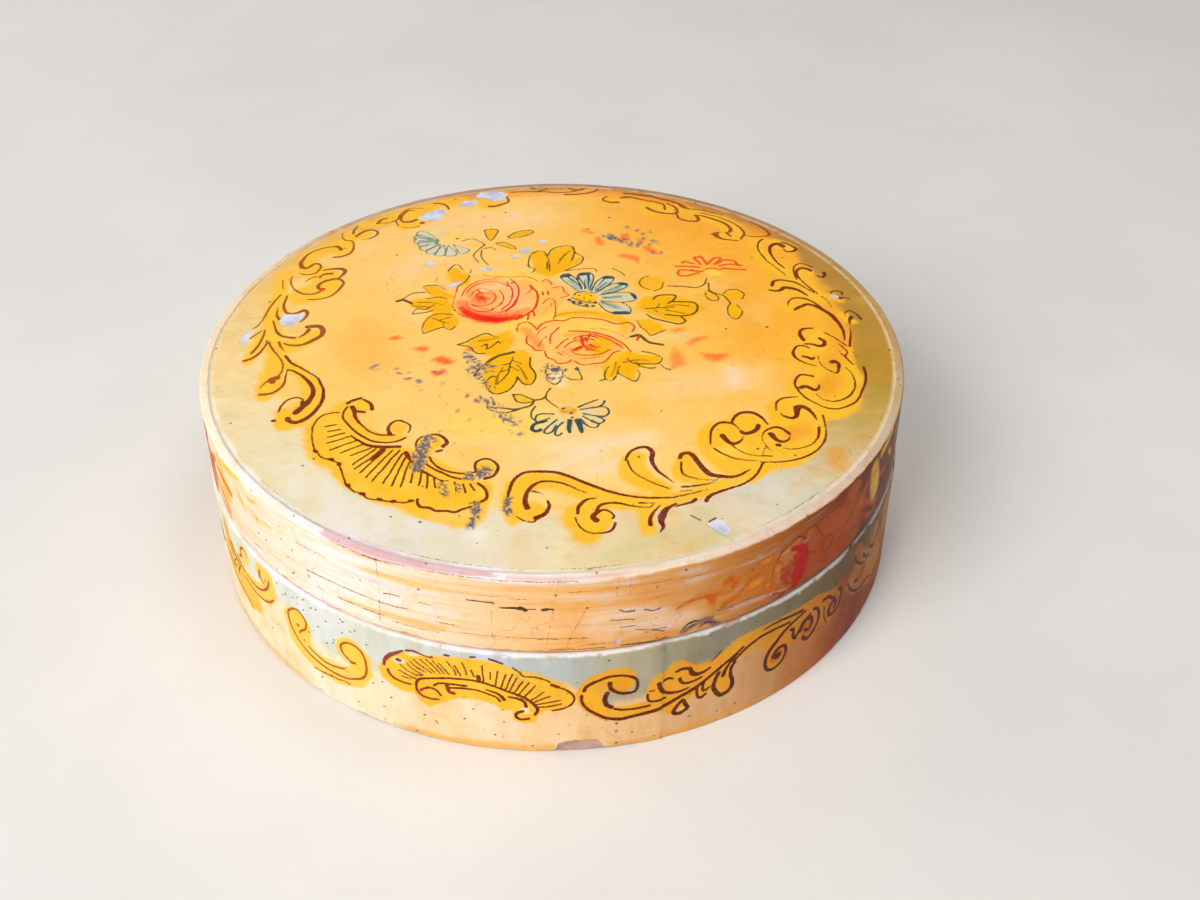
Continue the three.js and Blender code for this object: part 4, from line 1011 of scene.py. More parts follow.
# The base wall, as millimetres round the wall and up it
BASE_LINES = """
umber .55: -57.8,18 -57.5,19.5 -58.5,21 -60,21.7 -61.8,21 -63.3,19.3 -63.4,17 -62.5,14.3 -60.5,11.8 -57.5,10
 -54,9.1 -50,8.9 -46,9.6 -43,11.5 -41.7,14 -41.6,17 -42.3,19 -43.8,20.2 -46,20.2 -47.5,19 -47.8,17.5 -47,16
 -45.5,15
umber .5: -57.8,18 -58.3,17 -59.5,16 -60.3,15
umber .8: -60.6,17 -60.4,17
umber .5: -59.1,13.7 -58.9,13.6 / -57.8,12.5 -56,11.5 -53,10.8 -50,11 -47.6,12
umber .4: -57,6.8 -54,7 -51,7.4 -48,7.8 -46.5,7.7
umber .7: -45.5,14.8 -44.5,15
umber .5-.7: -80.5,17.9 -77,17.4 -74.5,17.9 -72.5,18.9 -71,20.5 -69.8,22.3 -69.5,23.4
umber .5: -82,16 -77.5,15.4 -74,15.6 -71,16.6 -68.7,18.7
umber .8-.4: -72.9,24.2 -73.3,23 -72.8,21.7 -71.6,21.3
umber .7-.4: -83.4,21.3 -82.3,21.9 -82.2,23.6 -81.2,25 -79.5,25.3 -78.4,24
umber .6: -84.2,17.5 -86,15 -86.6,13.8
umber .5: -86.8,17.6 -89,15.4
plum .6-1-.6: -37,18.2 -36.8,19.5 -35.5,21.5 -33.5,23 -32.3,23.8
plum .6-.4: -31.5,24.3 -30,24.7 -28,24.3 -26.5,24 -25.8,24.4
slate .8: -33.9,20.8 -33.2,20.9
.5: -23.2,25.6 -22.2,25.6 / -17.8,26.1 -16.8,26.3 / -14,26.2 -12.5,25.7 -11.4,25.2
.4: -9.5,24.3 -8.3,23.3 -7.3,22 -5,21.8 -3,21.2 -2,20.6
.7: -1.7,19.8 -.3,19
.45: -.2,18.9 1.2,18.2 2.3,17 2.8,15.5 2,13.8 .3,12.8 -1.8,12.4
plum .7-.5: -36.2,17.2 -36,16.3 -34.8,15.2 -33,14.8 -31.2,14.8
.35: -33.6,18 -31.5,17.2 -29.8,16.8 / -33.2,16.6 -31,16.3 / -33.3,19.8 -32,18.7 -30,18 -28.5,18.2 /
 -31.7,20.8 -30.5,19.5 -28.2,18.5 / -30.8,21.5 -29.5,20.3 -27.5,19.4 / -30,22.3 -28.5,21 -26.2,19.6 /
 -28.5,22.8 -27,21.3 -25.5,20 / -27.3,23.2 -25.5,21.5 -24.3,19.9 / -25.8,23.3 -24,21 -23.4,20 / -24.5,23
 -23,21 -22.4,20.2 / -22.8,24 -21.5,22 -21,20.5 / -21.2,23 -20,20.4 / -19.6,24.2 -18.7,21 / -17.8,22.5
 -17.2,20.8
.8: -16.4,21 -16.3,19.5
.35: -15.5,24.2 -15.4,19.6 / -13.8,22.5 -14,20.5 / -12.3,23 -13,18.8 / -10.8,22.2 -12,18 / -9.5,22.4
 -11,17.8 / -8.6,21.5 -10.2,17.5 / -7.4,20.6 -9.4,17 / -6.2,20.2 -8.5,16.5 / -5,19.5 -7.3,16 / -3.3,17.7
 -6,15.2 / -2,16.5 -5.5,14.7 / 0,15.3 -3,14.5 -5.2,14 / .2,14.2 -3,13.5 -4.8,13.3
.6-.5-.7: -29.9,13.5 -29.9,15.5 -29,17 -27,17.9 -24,18.8 -20.5,19.5 -17,19.6 -14,18.9 -11.5,17.9 -9,16.8
 -6.8,15.6 -5.5,14.2 -4.7,12.5 -5.2,11
plum .6: -29.9,13.5 -29,12.4 -27,12 -25.3,12.4 / -29,13.7 -28.3,14.5 -27,15.2 -25.6,15 -24.8,13.8
.5: -26,16.2 -24.8,17.2 -22,17.6 -19,17.8
plum .8: -23.2,17 -22.9,15.3 -21.8,15
.5: -23,16.3 -20,16.9 -17,16.9 -15,16.4 -13,15.6 -12.2,14.5
.4-.7: -15,17.5 -12.5,16.6 -11.3,15
.5-.7: -10.5,15.9 -8.5,15.5 -7.2,14.5 -7,13.3
.65: -7.7,12 -8.9,11.4 -9.2,10.4 -8,9.6 -6.5,9.9
.8-.6-.7: 4.8,17.6 5.3,18.8 7,20 9.5,20.9 12,21 14,20.4 15.5,19.3 15.8,17.5 15.4,16.2 14.3,15.7
.8: 14.3,15.7 12.8,15.8 11.2,16.5 10.2,17.8 10,19.2
1.1: 10.1,19 10.1,19.1
1: 9.5,16.5 9,15 9.2,13.3 10.3,12.2
.6-1-.7: 4.2,16.4 4.3,14.5 5.5,12.3 7.5,10.5 9.5,9.1 12,8.5 15,8.6 18.5,9 22,9.9 25,11.2 28,12.5 31,14.2
 34,16.2 37,18 39.3,19.4
.6: 11,11.6 13,11 15.5,10.8 18.2,10.9 / 17.8,14.2 17.9,12.8 18.5,12 20,11.8 21.7,12
.35: 18.2,15 19.3,15
1-.8-.5: 20.3,16.6 20.7,15 21.5,13.7 23,13 25,12.8 26.7,13.2
.6: 21.3,17 22.3,17.5 23.2,17.1
.8-.5: 24.7,16.6 25,15.5 26,14.8 28,14.8 29.7,15.3
.5-1.1-.5: 23.9,18.8 25.3,19.2 26.7,18.8 27.2,17.5 28.2,16.6 30,16.5 31.5,17.2
.7: 28.8,13 28.7,11.5 28.9,10 29.8,9.2 30.8,9.8
.6: 30.3,13.6 30,12 30.5,11 31.6,11.4
.9: 25.6,9.9 24.5,8.8 23.6,7.3 24.3,6.4 25.6,6.5 26.8,7.4 26.3,8.4 25.9,9.6
.9-1.1-.8: 33.7,14.7 32.8,13 32.6,11 33.3,9.2 34.5,7.9 36,8.1 37,9.3 37,11.3 36.5,13 36.7,15 37.5,16
1-.5: 34.6,13.4 35.2,15 36.5,16.8 38,18.3
.3: 31.8,18.9 33,19.9 34,21
.7: 37.2,16.5 39,18 41.5,19.5 44.5,20.3 48,20.3 51.5,19.8
.35-.9: 44.3,21.8 47,22.1 50,21.8 53,21.3 55.3,21
.6-1.2-.7-1: 56.3,20.2 53,19.3 50,17.8 48,16 46.3,14.3 45.5,12.3 45.8,10 47,8.6 48.7,8.6 50.5,9.6 51.3,11.5
 51,13.3 49.8,14 48.3,13.5 47.6,12
1.8: 48.9,11.8 49.1,11.8
.9: 52.3,17.3 53,16.8 53,15 53.8,14
.8-1.1: 53.7,14 55.2,15.8 56.8,17.3 58,18
1-.8: 56.3,12.6 57.6,11.2 59.4,11.8 61,13.6 61.2,16 60.6,18 59.2,19
1.2-.8: 55.2,15.2 56,17 57.4,17.4 58.7,16.6 58.9,15 57.8,13.9 56.6,14.6
1-.7: 62.6,19.2 64.4,19 65.7,17.8 66.8,16.9
1.1-.8: 65,14.6 65.4,12.9 67,12.6 68.8,13.4 69.5,15.2 69.4,17.4 68.2,18.6
.9: 65.3,15.4 66.6,16.2 67.8,15.2 67.2,14
.4: 63,17 63.4,14 64.6,11
.8-.6: 74.6,23 75.6,21 77.4,19.2 79.8,17.8
.8-.5: 72.4,17 73.6,14.6 75.8,12.3 78.6,10.7 82,10 85,9.4 87.4,8
1-.6: 79,20.6 81,18.6 83,17.6
.9-.5: 75.8,15.2 78,14.2 80.4,14.8
.8-.5: 83,20.2 84.6,18.6 86.4,17.8
"""
BASE_FILLS = """
ochre .93 .4: -37.5,18.5 -36.5,20.5 -33,23 -31,24 -28,24 -25,24.8 -20,25.6 -16,25.7 -12,25.2 -9,23.8 -5,22.9
 -2,21.5 1,19.5 3,17 2.8,14 0,12.6 -3,12.3 -4.5,11 -5,9 -7.5,8.4 -9.8,9.3 -10,12 -12,12.2 -13.5,13.5
 -17,14.2 -21,13.8 -24,12 -26,10.5 -27.5,9.2 -29.5,11 -30.5,12.5 -33.5,12 -36,13 -38,14.5 -38.5,17
blush .85 .4: -35.2,20.6 -33.8,21.7 -31.6,21.2 -32.4,20.2 -34.4,19.8 / -31.8,23.2 -30.4,24.1 -28.4,24
 -29.4,23.1
marigold .95 .4: 3,17 4.5,20 7,22 10.5,23.2 13.5,23 15.2,21.5 15.4,19 14.5,17 12.5,16.3 10.5,16.7 8.8,17
 8.3,15 9.5,13 12,12 16,12.2 18.5,12.5 17.3,14.5 18,17 19.5,19.3 22,20 23,21.7 25,22 26.5,20.8 28,19.3
 31,18.9 33,19.5 35,21.3 38,23 42,23.2 48,23 54,22.6 60,22.4 64,20.8 67.5,19.3 69.5,17.8 69.8,14 67,12
 65,10.4 63.5,11 62.5,13.5 60.8,12 58,10.6 56,12 55,13.5 52,13 51.3,9.5 48.5,7.8 46.2,8 45,11 45.8,15
 42.5,18.1 38,16.5 36.5,14 37.4,11 37,8.2 34.6,7.2 32.5,9 32,10.5 31,9 29,9 28.5,11 26.5,10 27,8.5 26.5,6.4
 24,6.2 22,7 21.5,8.5 18,8.3 12,8.2 8,9 5,11.5 3.5,14
"""
BASE_WASHES = """
gold .85 .7: -58.5,18,2 -60.5,19.5,2.2 -62.4,17,2.6 -61,12,2.8 -56,9.4,2.9 -50,9,2.9 -45,10.6,2.8
 -42.6,14,2.4 -42.6,17.5,2.4 -45,19.5,2.4 -46.4,17.5,2 / -60.5,17.5,4.2 -59.5,14.5,2.6 / -45.4,17.6,3.8
 -45.3,17.6,3.8 / -83,16.6,2.4 -77,16.6,2.3 -72,18,2.6 -69.5,21,2.6 -70,24,2.6 -72,24,2.6 / -82,21.5,2
 -80.4,23.4,2.4 / -86,16,3 -90,17,3.4
amber .55 1: -86,15.5,1.4 -83.6,17.4,1.2
ochre .5 1.4: 5.5,17,1.6 8,12,1.4 14,10.4,1.2
rust .5 .8: 48.4,12,1.8 48.6,12,1.8 / 57.6,14.4,2.2 57.8,14.4,2.2 / 66.6,15.6,2.2 66.8,15.6,2.2
sky .8 .8: 9.4,13.8,.8 10.2,12.9,.6
white .7 .7: -7.4,12.3,.8 -7,12.2,.8
white .5 .7: 25.4,7.3,.6 25.6,7.3,.6
ochre .9 .7: 76,24,1.8 77.6,20.6,2.4 81,17.5,3 86,14.5,3.2 90,12,3 / 73.6,16.5,2 76.5,13.4,2.4 81,11.5,2.4
 87,9.6,2.2
"""
BASE_CHIPS = """
: -1.5,0 -.4,2.6 1,3 3,3.2 5.5,3.4 7.6,3.3 8.2,2 8.6,.8 10,0 9,-.6 0,-.6 / 35,26.8 36,27.4 38,27.6 39,28.2
 36,28.6 34.5,27.8
"""
# Dark specks on the base wall
BASE_SPECKS = """
: -66,25.5 -63.5,24 -57.5,26 -55.5,25 -54,25.3 -47,26.2 -47,22.5 -46.5,25.7 -53.8,20.5 -58,22.8 -50,18
 -52,17 / -41,22 -64.5,23 -61,24.6 -59.4,25.6 -51.4,23.4 -43.6,24.8 -28.8,6.5 -40.5,11.3 -20,7.8 -45,3.5
 -38.5,5.2 -31,1 / -68.5,11.8 -38.2,12.6 -36.4,8.8 -26.4,5.4 -13.8,4.4 9.6,25.4 14.6,3.8 33.6,3.2 38,3.4
 61,4.6
"""
# The lid wall: long cracks in the paint, worn places, and what is left of a garland
LID_CRACKS = """
crack .35: -18,41.3 -15,41.2 -12.5,41
crack .3-.9: -11.5,40 -8.5,40.1 -7,39.9 -6.4,39.6
crack .7: -7.3,40.3 -6.6,40
crack .3: -6,39.9 -4.4,40
crack .8-.4: -3,39.8 -2,40 -.9,39.8
wear .25: -57,41.7 -53,41.8 -49,41.7
wear .3: -35.5,38.1 -34,38.4 -32,38.4 / -55,35.4 -50,35.6 -44,35.7 -37,35.4 -30,35.6 / -47,32.2 -42,32
 -36,31.9
wear .2: -20,32.1 -12,32.3 -4,32.2 5,31.9 / -28,38.2 -25,38.2
wear .15: 5.6,40.2 4,36.8 2.6,33.6 1.4,29.6
wear .12: 0,46.4 -.8,42 -1.4,37.5 -2.2,33 -2.6,29 / -12.9,46.4 -13,40 -13.2,34 -12.8,29 / 14,46.6 13.9,43
 14.2,40.4 / 11.6,46.4 11.2,42
wear .15: 31.6,36 31.4,32 30.9,28.8
wear .4: 11.8,38.6 13,37.9 15,37.8
crack .15-.5-.15: 24.4,29.6 25.8,31 27.6,31.5 29.4,31
crack .2-.4-.2: 28.4,29.2 30,30.2 31.8,29.6 33.2,28.8
crack .3: 26.4,30 27.6,30.6
wear .3: 33,32.9 38,32.4 43,32.1
wear .3-.5-.3: 44,30.6 48,29.8 50.4,29
wear .2: 2,44.2 12,44.4 24,44 30,43.4
wear .25: -4,31.9 2,32.1 6,32 / -34,31 -30,31.2 -24,31
wear .15: -22,42.6 -14,42.8 -6,42.5
wear .2: -24.6,33.8 -20,33.9
wear .5: 17,37.6 18.6,37 20,37.2
wear .3: 10,36 13,35.8 15,35.5 / 12,34 15.2,33.8 / 15,32.8 18,32 21.5,31.8
wear .4: 18.6,31.7 21,30.8
wear .25: 4,30 9,30.2
wear .35: 32,32.6 34,32.2 36.4,31.9
wear .45: -60.9,35.6 -60.7,35.5
wear .5: -59,38.4 -58.9,38.3 / -59.8,31.9 -59.5,32.1
wear .35: -24,35.2 -23.9,35.2
wear .2: -52.5,32.2 -50.4,32.1 / -53.4,35.8 -53.2,36.4
wear .15: -36.4,47 -36.4,43 -36.5,39 -36.8,34 -37,30
wear .3: -2,29.2 4,29 9,29
crack .3: 12,28.9 18,28.8 22,28.9
wear .2: -80,32 -76,31.5 -70,31.8 / 90,40 98,40.3 106,40.1
crack .3: 120,36.1 128,36.3 133,36.1
wear .25: 150,42 160,41.7 172,42
wear .2: -150,38.6 -138,38.8 -126,38.5
crack .3: -205,33.4 -198,33.3
wear .2: -230,41 -215,41.3 / 200,33.5 214,33.2
"""
LID_WALL_FILLS = """
bruise .85 .5: 24.2,29 25.2,30.4 27.4,31.2 29.8,31.8 31.9,31.4 31.6,30.6 32.6,29.8 33.8,28.7 31.6,28.6
 30.4,29.8 28.4,30.2 26.4,29.6 25.4,28.8
bruise .7 .5: 36.6,32 38.2,31.7 40.4,31.9 40.2,31.4 38,31.2
rose .75 .4: 9,37.8 12,38.6 16,38.4 20,37.6 20.4,36.8 17,37.2 12,37.6 / 14,33 18,32.6 23,32.2 23,31.3
 18,31.7 14,32.3
rose .7 .4: 34,32.2 40,32.2 46,31.2 50,30.2 50,29.6 44,30.4 36,31.2
rose .6 .4: 9,30.6 12,31.4 13,30.4 11,29.6
rose .5 .5: 0,36 4,36.6 8,36.2 8,35.4 3,35.4
blush .55 2.5: 6,38 12,39.4 19,38.4 22,36 20,33 14,31.5 8,31 4.5,33.5
blush .5 2.5: 22,35.6 27,35.4 30,33.4 27,31 20,31 18,33
"""
RIM_FILLS = """
rose .95 .5: -50,47.3 -46,46.8 -40,46.6 -33,46.7 -26,46.9 -20,47.2 -12,47.8 -14,49.3 -50,49.3
rose .6 .5: -10,47.2 -4,47 4,47.1 14,47.4 14,48.2 -10,48.2
"""
RIM_LINES = """
.15-.3-.15: -46,46.9 -42,46.7 -38,46.4 -34,46.6 -30,46.9
wear .2: -27,46.9 -20,47.1 -12,46.9 -4,47 4,46.9
"""
LID_WALL_CHIPS = """
: 10.4,30.6 11.4,31.2 12.2,30.4 11.6,29.6 / -76,28.6 -74,29.4 -71,29.2 -72,28.3
"""
GARLAND_FILLS = """
honey .35 .8: 24,36 28,38 33,38 36,40.6 38.4,38.4 40.6,39.8 46,42 47,38 46.6,32 43,31.6 37,33.6 33,33
 30,33.6
rust .85 .5: 29.3,37.4 30,36 30.7,34.8 31.7,34.1 32.2,35.6 32,37 / 32.9,39.3 34.4,40.4 36.2,40.2 37.6,38.8
 37.2,37.6 35.8,37 35.8,38 34.4,38.8
rust .6 .6: 38,35.4 38.6,36.9 40.4,38 42.6,38.4 45,37.2 44.6,35.6 42.8,34.4 40,34.3
amber .9 .6: 39.4,35.5 40,36.6 41.6,37.2 43.6,36.8 43.2,35.6 41.4,35.1
rust .7 .5: 41.4,40.8 42.4,42 44.6,42.2 46.2,41 45.2,39.6 42.8,39.3
amber .9 .4: 42.6,40.8 43.2,41.3 44.4,41.4 45,40.7 44.4,40.2 43.2,40.1
rust .7 .6: 43.4,34.8 43.2,33.2 44.2,31.8 45.8,32.4 46.2,34 45.4,35.4 44.6,35.4
amber .8 .5: 44,34 44.2,33 45,33 45.2,34 44.8,34.6
peach .3 .6: 47,39.6 49.5,41.8 52.5,42.2 54,39.8 52,36 51,32 49,30.8 47,33 46.4,36.4
brick .45 .8: 47.6,36 49.6,37.4 51.6,36 51,32.6 49,31.4 47.8,33.4
umber .85 .5: 55.4,40.6 57,42.6 60,43.4 64,43.6 67.6,43 70,38 70,33 69,28.8 60,28.6 55.6,29.8 55.2,34
umber .8 .5: 67.4,43.4 68,46 70.6,46.6 73,45.8 73.4,43.4 71.6,42.2 69,42.2
umber .6 .7: 69,42 73.6,42 77,39 76,33 73.6,29 69,28.8
peach .2 .8: 54,42.2 55,43.4 57,43 56.4,41.4 55,40.4
"""
GARLAND_WASHES = """
rust .9 .4: 23.6,36,.35 25.2,36.9,.45 27.4,37.7,.5 29.6,37.5,.6 31.6,37,.45 34,36.8,.35 36,36.9,.4 /
 33.8,33.4,.55 35.4,34.1,.7 37,34.7,.55 38.6,36,.45 40.6,37.9,.35
claret .98 .4: 50.6,40.4,.5 52.8,39.8,1 54,37.4,1.5 54.1,34.6,1.7 53.3,32,1.5 52.2,30,.9
claret .8 .5: 51.6,38,.5 52.4,35,.8 51.6,32,.6
brick .8 .5: 46.9,38.7,.3 48.4,38.4,.3 / 50.4,37.4,.2 51.2,36,.3
brick .75 .5: 48,36.4,.35 48.4,36.2,.3 / 48.2,34.2,.5 49.6,34,.5 / 49,35.2,.3 50,34.8,.35 / 48.3,32.3,.25
 50,32.2,.3
brick .8 .5: 49.6,31.2,.3 51.4,31,.4
brick .3 .6: 61,30.4,.6 65,29.8,.7 70,29.4,.6
brick .55 .9: 70.4,35,.8 72.2,33.4,.7 74,32.2,.5
umber .7 .6: 66,36,1.4 69.4,40.6,1.3 70.6,43,1.3 / 70,34,1.2 73,38,1.2 76,41,1.2 78.4,42.4,.8
rust .7 .6: 74,38.4,.6 77,36.6,.8 80.4,34.6,.9 84,32,.8
rust .6 .6: 76,33.6,.5 80,31.2,.7 84,29.8,.6
rust .7 .6: 79,40.4,.6 83,39.8,.9 87,38.6,1
gold .9 1: -84,45.4,1.4 -80,45.8,.8 -77,46.6,.6
gold .85 1.2: -88,44,2 -87,40,2.6 -86,36.4,2.2
gold .85 .7: -73.6,43.5,.35 -72,43.8,.6 -70.2,44.6,.35
gold .8 .9: -78.6,42.2,.5 -77.2,41,.9 -75.4,39.2,.4
gold .6 .7: -71.6,41.2,.35 -70.6,39.8,.5 -70.2,38.4,.3
gold .7 .7: -69.4,40.5,.4 -65.4,40.5,.4
"""
GARLAND_LINES = """
brick .25-.4-.25: 46,39.2 47,40.4 48.4,41.4 50.2,41.9
brick .3-.5-.3: 50,42.2 51.2,42.8 52.4,42.7 53.6,41.8 53.9,41
brick .25: 53.8,41.2 54.2,42.6 55.2,43.4 56.8,43.2 57.6,42.7 / 46,38.6 45.5,36.6 45.6,34.6
brick .3-.4: 57.2,42.8 58.2,41.6 58.8,40.2 60,38.4
rust .35: 55.6,39.9 57.6,39.9 59.2,39
brick .3: 55.2,36.8 56.6,36.2 58,35.6
brick .35: 61.2,37.7 60.2,36.6 60,35.2 61,33.9 62.4,33.6 63.4,34.6 63.4,36.2 62.4,37.4 61.2,37.7
brick .3: 60.2,43.2 61.6,42.2 / 62.4,43.6 64,43.6 / 58,33.2 60,31.6 62,30.6
brick .4: 66.4,33.4 67.6,36.2 69.4,36.4
brick .3: 47.8,37.3 48.4,37.6
brick .35: 48,33.5 49.4,33.1 / 50.6,34 50.8,32.6
brick .5-.3: 46.2,30.6 48.4,29.8 49.4,30 / 47.6,28.9 50.4,29.5 53.4,29.4
"""


def paint_lid_top():
    """The painting on the lid: a peach-yellow field, a pale margin, a scroll border and flowers."""
    half, rim = 79.0, LID_INNER  # the canvas reaches a little past the rim
    c = Canvas(-half, half, -half, half, 10)
    x, y, r = c.X, c.Y, np.hypot(c.X, c.Y)
    streak, lumps, broad = c.noise(9, 6, 21), c.noise(6, 6, 22), c.noise(40, 40, 23, 2)
    cloudy = c.noise(16, 13, 27)
    field = np.zeros(c.ground.shape) + rgb(253, 200, 102)
    for share, paint in (
        # paler towards the front: a painted sheen of the varnish
        (ease(-y, 5, 62) * 0.9, rgb(250, 208, 124)),
        (ease(x, 5, 62) * ease(y, -52, 10) * 0.95, rgb(254, 178, 44)),
        (ease(y, 15, 62) * ease(x, -10, 40) * 0.9, rgb(253, 170, 44)),
        (ease(-x, 15, 60) * ease(y, 0, 40) * 0.8, rgb(253, 199, 112)),
        (ease(cloudy + 0.5 * broad, 0.3, 1.8) * 0.55, rgb(254, 218, 148)),
        (ease(-cloudy + 0.4 * lumps, 0.5, 2.0) * 0.4, rgb(252, 184, 60)),
    ):
        field = blend(field, share, paint)
    degrees = np.degrees(np.arctan2(x, -y)) % 360
    # the margin's colours, with a painted sheen at the front and painted shade on the right and back
    margin = colour_round(degrees, MARGIN)
    for share, tint in (
        (ease(lumps + streak, 0.0, 1.6) * 0.6, rgb(232, 246, 226)),
        (ease(-broad - lumps, 0.2, 1.6) * ease(x, -30, 50) * 0.75, rgb(244, 218, 156)),
        (ease(broad - lumps, -0.6, 1.0) * ease(-x, -30, 40) * 0.8, rgb(250, 247, 216)),
    ):
        margin = blend(margin, share, margin * tint)
    margin = blend(margin, ease(cloudy - streak, 0.7, 2.0) * 0.5, np.minimum(margin * 1.12 + 0.04, 0.97))
    # The field is a circle of 67 mm radius that lies a little off the middle.
    out = np.hypot(x - 1, y - 8) - 67 + 1.2 * lumps + 0.8 * streak
    c.ground[:] = blend(field, ease(out, -1.6, 2.4), margin)
    c.draw(washes=LID_PATCHES)
    c.draw(LID_LINES, "dark", LID_FILLS, LID_WASHES, broad=1.1)
    c.draw(FLOWER_LINES, "olive", FLOWER_FILLS, FLOWER_WASHES, broad=1.05)
    c.petals(PETALS)
    c.draw(LID_CHIP_LINES, scuffs=SCUFFS, chips=LID_CHIPS)
    # The rim has lost most of its paint, and chalky gesso shows in a ragged line along it.
    # The lines run from start to end in degrees from the front.
    for radius, start, end, parts, ink, widths in (
        (77.3, -75, 40, 60, "chalk", [0.1, 0.9, 0.4, 1.1, 0.7, 0.3, 0.9, 0.5, 0.8, 0.2, 0.5, 0.1]),
        (76.45, -66, 78, 90, "wear", [0, 0.2, 0.05, 0, 0.25, 0.1, 0.3, 0, 0.15, 0.3, 0.1, 0.2, 0]),
    ):
        turn = np.radians(np.linspace(start, end, parts))
        c.stroke(radius * np.stack([np.sin(turn), -np.cos(turn)], -1), widths, INKS[ink])
    frayed = r + 0.5 * c.noise(5, 5, 24) + 0.25 * c.noise(1.2, 1.2, 25)
    chalky = r + 0.45 * c.noise(3.4, 3.4, 28) + 0.3 * c.noise(0.9, 0.9, 29)
    bare = ease(c.noise(7, 7, 30) + 0.5 * c.noise(2, 2, 31), -0.9, 0.1)
    # tan is the rim's colour, darker on the right and back as painted shade
    front, tan = ease(np.abs(degrees - 325), 75, 35), colour_round(degrees, RIM)
    c.coat(ease(frayed, rim - 2.0, rim - 0.4) * (0.2 + 0.35 * front), tan)
    c.coat(ease(frayed, rim - 1.3, rim - 0.9) * 0.8 * front, tan)
    c.coat(ease(chalky, rim - 0.5, rim - 0.3) * bare * 0.9, (tan + rgb(252, 246, 240)) / 2)
    c.sunk[:] = 0.10 * ease(frayed, rim - 0.9, rim + 0.1) + 0.02 * np.clip(1.2 + c.noise(3, 3, 26), 0.2, 3)
    return c


def wall_canvas(foot, top, seed):
    """A canvas all round a wall, over its edges too, and its places from the front and upwards."""
    c = Canvas(0.0, ROUND, foot - 2.0, top + 3.5, seed, wrap=True)
    return c, (c.X + ROUND / 2) % ROUND - ROUND / 2, c.Y


def paint_base_wall():
    """The painting on the base wall: a peach ground, pale above, with scrolls and shells."""
    c, x, z = wall_canvas(0.0, BASE_HEIGHT, 40)
    brush, lumps = c.noise(3, 14, 41), c.noise(7, 7, 42)
    low, pale = colour_round(x, BASE_LOW), colour_round(x, BASE_HIGH)
    # tone is the ground's red, so the painted shade on the right also darkens the streaks and worn edges
    # below
    tone = low[..., :1]
    low = blend(low, ease(brush + lumps, 0.2, 1.9) * 0.4, tone * rgb(255, 240, 212))
    low = blend(low, ease(-lumps - brush, 0.3, 1.8) * 0.4, tone * rgb(250, 194, 122))
    pale = blend(pale, ease(brush + 0.5 * lumps, 0.1, 1.6) * 0.3, pale * rgb(250, 250, 236) * 1.18)
    pale = blend(pale, ease(-brush - 0.5 * lumps, 0.2, 1.6) * 0.3, pale * rgb(214, 226, 214))
    divide = np.interp(x, *zip(*BASE_DIVIDE))
    c.ground[:] = blend(low, ease(z - divide + 0.9 * lumps, -1.2, 1.4), pale)
    stripe = ease(2.4 + 0.7 * lumps - z, 0, 0.9) * np.interp(x, *zip(*BASE_FOOT))
    c.coat(stripe * 0.75, rgb(240, 172, 74))
    for right in BASE_REPEATS:
        c.draw(BASE_LINES, "dark", BASE_FILLS, BASE_WASHES, right=right, broad=1.05)
    # painted shade on the right, over the ground and over the lines
    c.ground *= colour_round(x, BASE_PAINTED_SHADE)
    c.ink *= np.interp(x, *zip(*LINE_PAINTED_SHADE))[..., None]
    for _, spots in read(BASE_SPECKS):
        for spot in spots:
            c.stroke(spot + np.array([(0, 0), (0.35, 0.2)]), [0.35], INKS["wear"] * 0.7)
    c.draw(chips=BASE_CHIPS)
    worn = c.noise(4, 1.5, 43) + 0.7 * c.noise(1.1, 0.7, 44)
    top_loss = ease(z + 0.45 * worn, BASE_HEIGHT - 0.8, BASE_HEIGHT - 0.5)
    foot_loss = ease(0.5 + 0.6 * worn - z, 0.2, 0.7)
    c.coat(top_loss * 0.9, tone * rgb(250, 242, 238))
    c.coat(foot_loss * 0.7, tone * rgb(214, 182, 144))
    c.sunk[:] = 0.16 * top_loss + 0.12 * foot_loss + 0.012 * np.clip(1.4 + lumps, 0.2, 3)
    c.sunk += 0.22 * ease(z, BASE_HEIGHT - 1.4, BASE_HEIGHT + 0.2) * ease(c.noise(2.4, 1.4, 45), 0.5, 1.1)
    c.sunk += 0.18 * ease(-c.chip_edge, 0.0, 0.3)
    return c


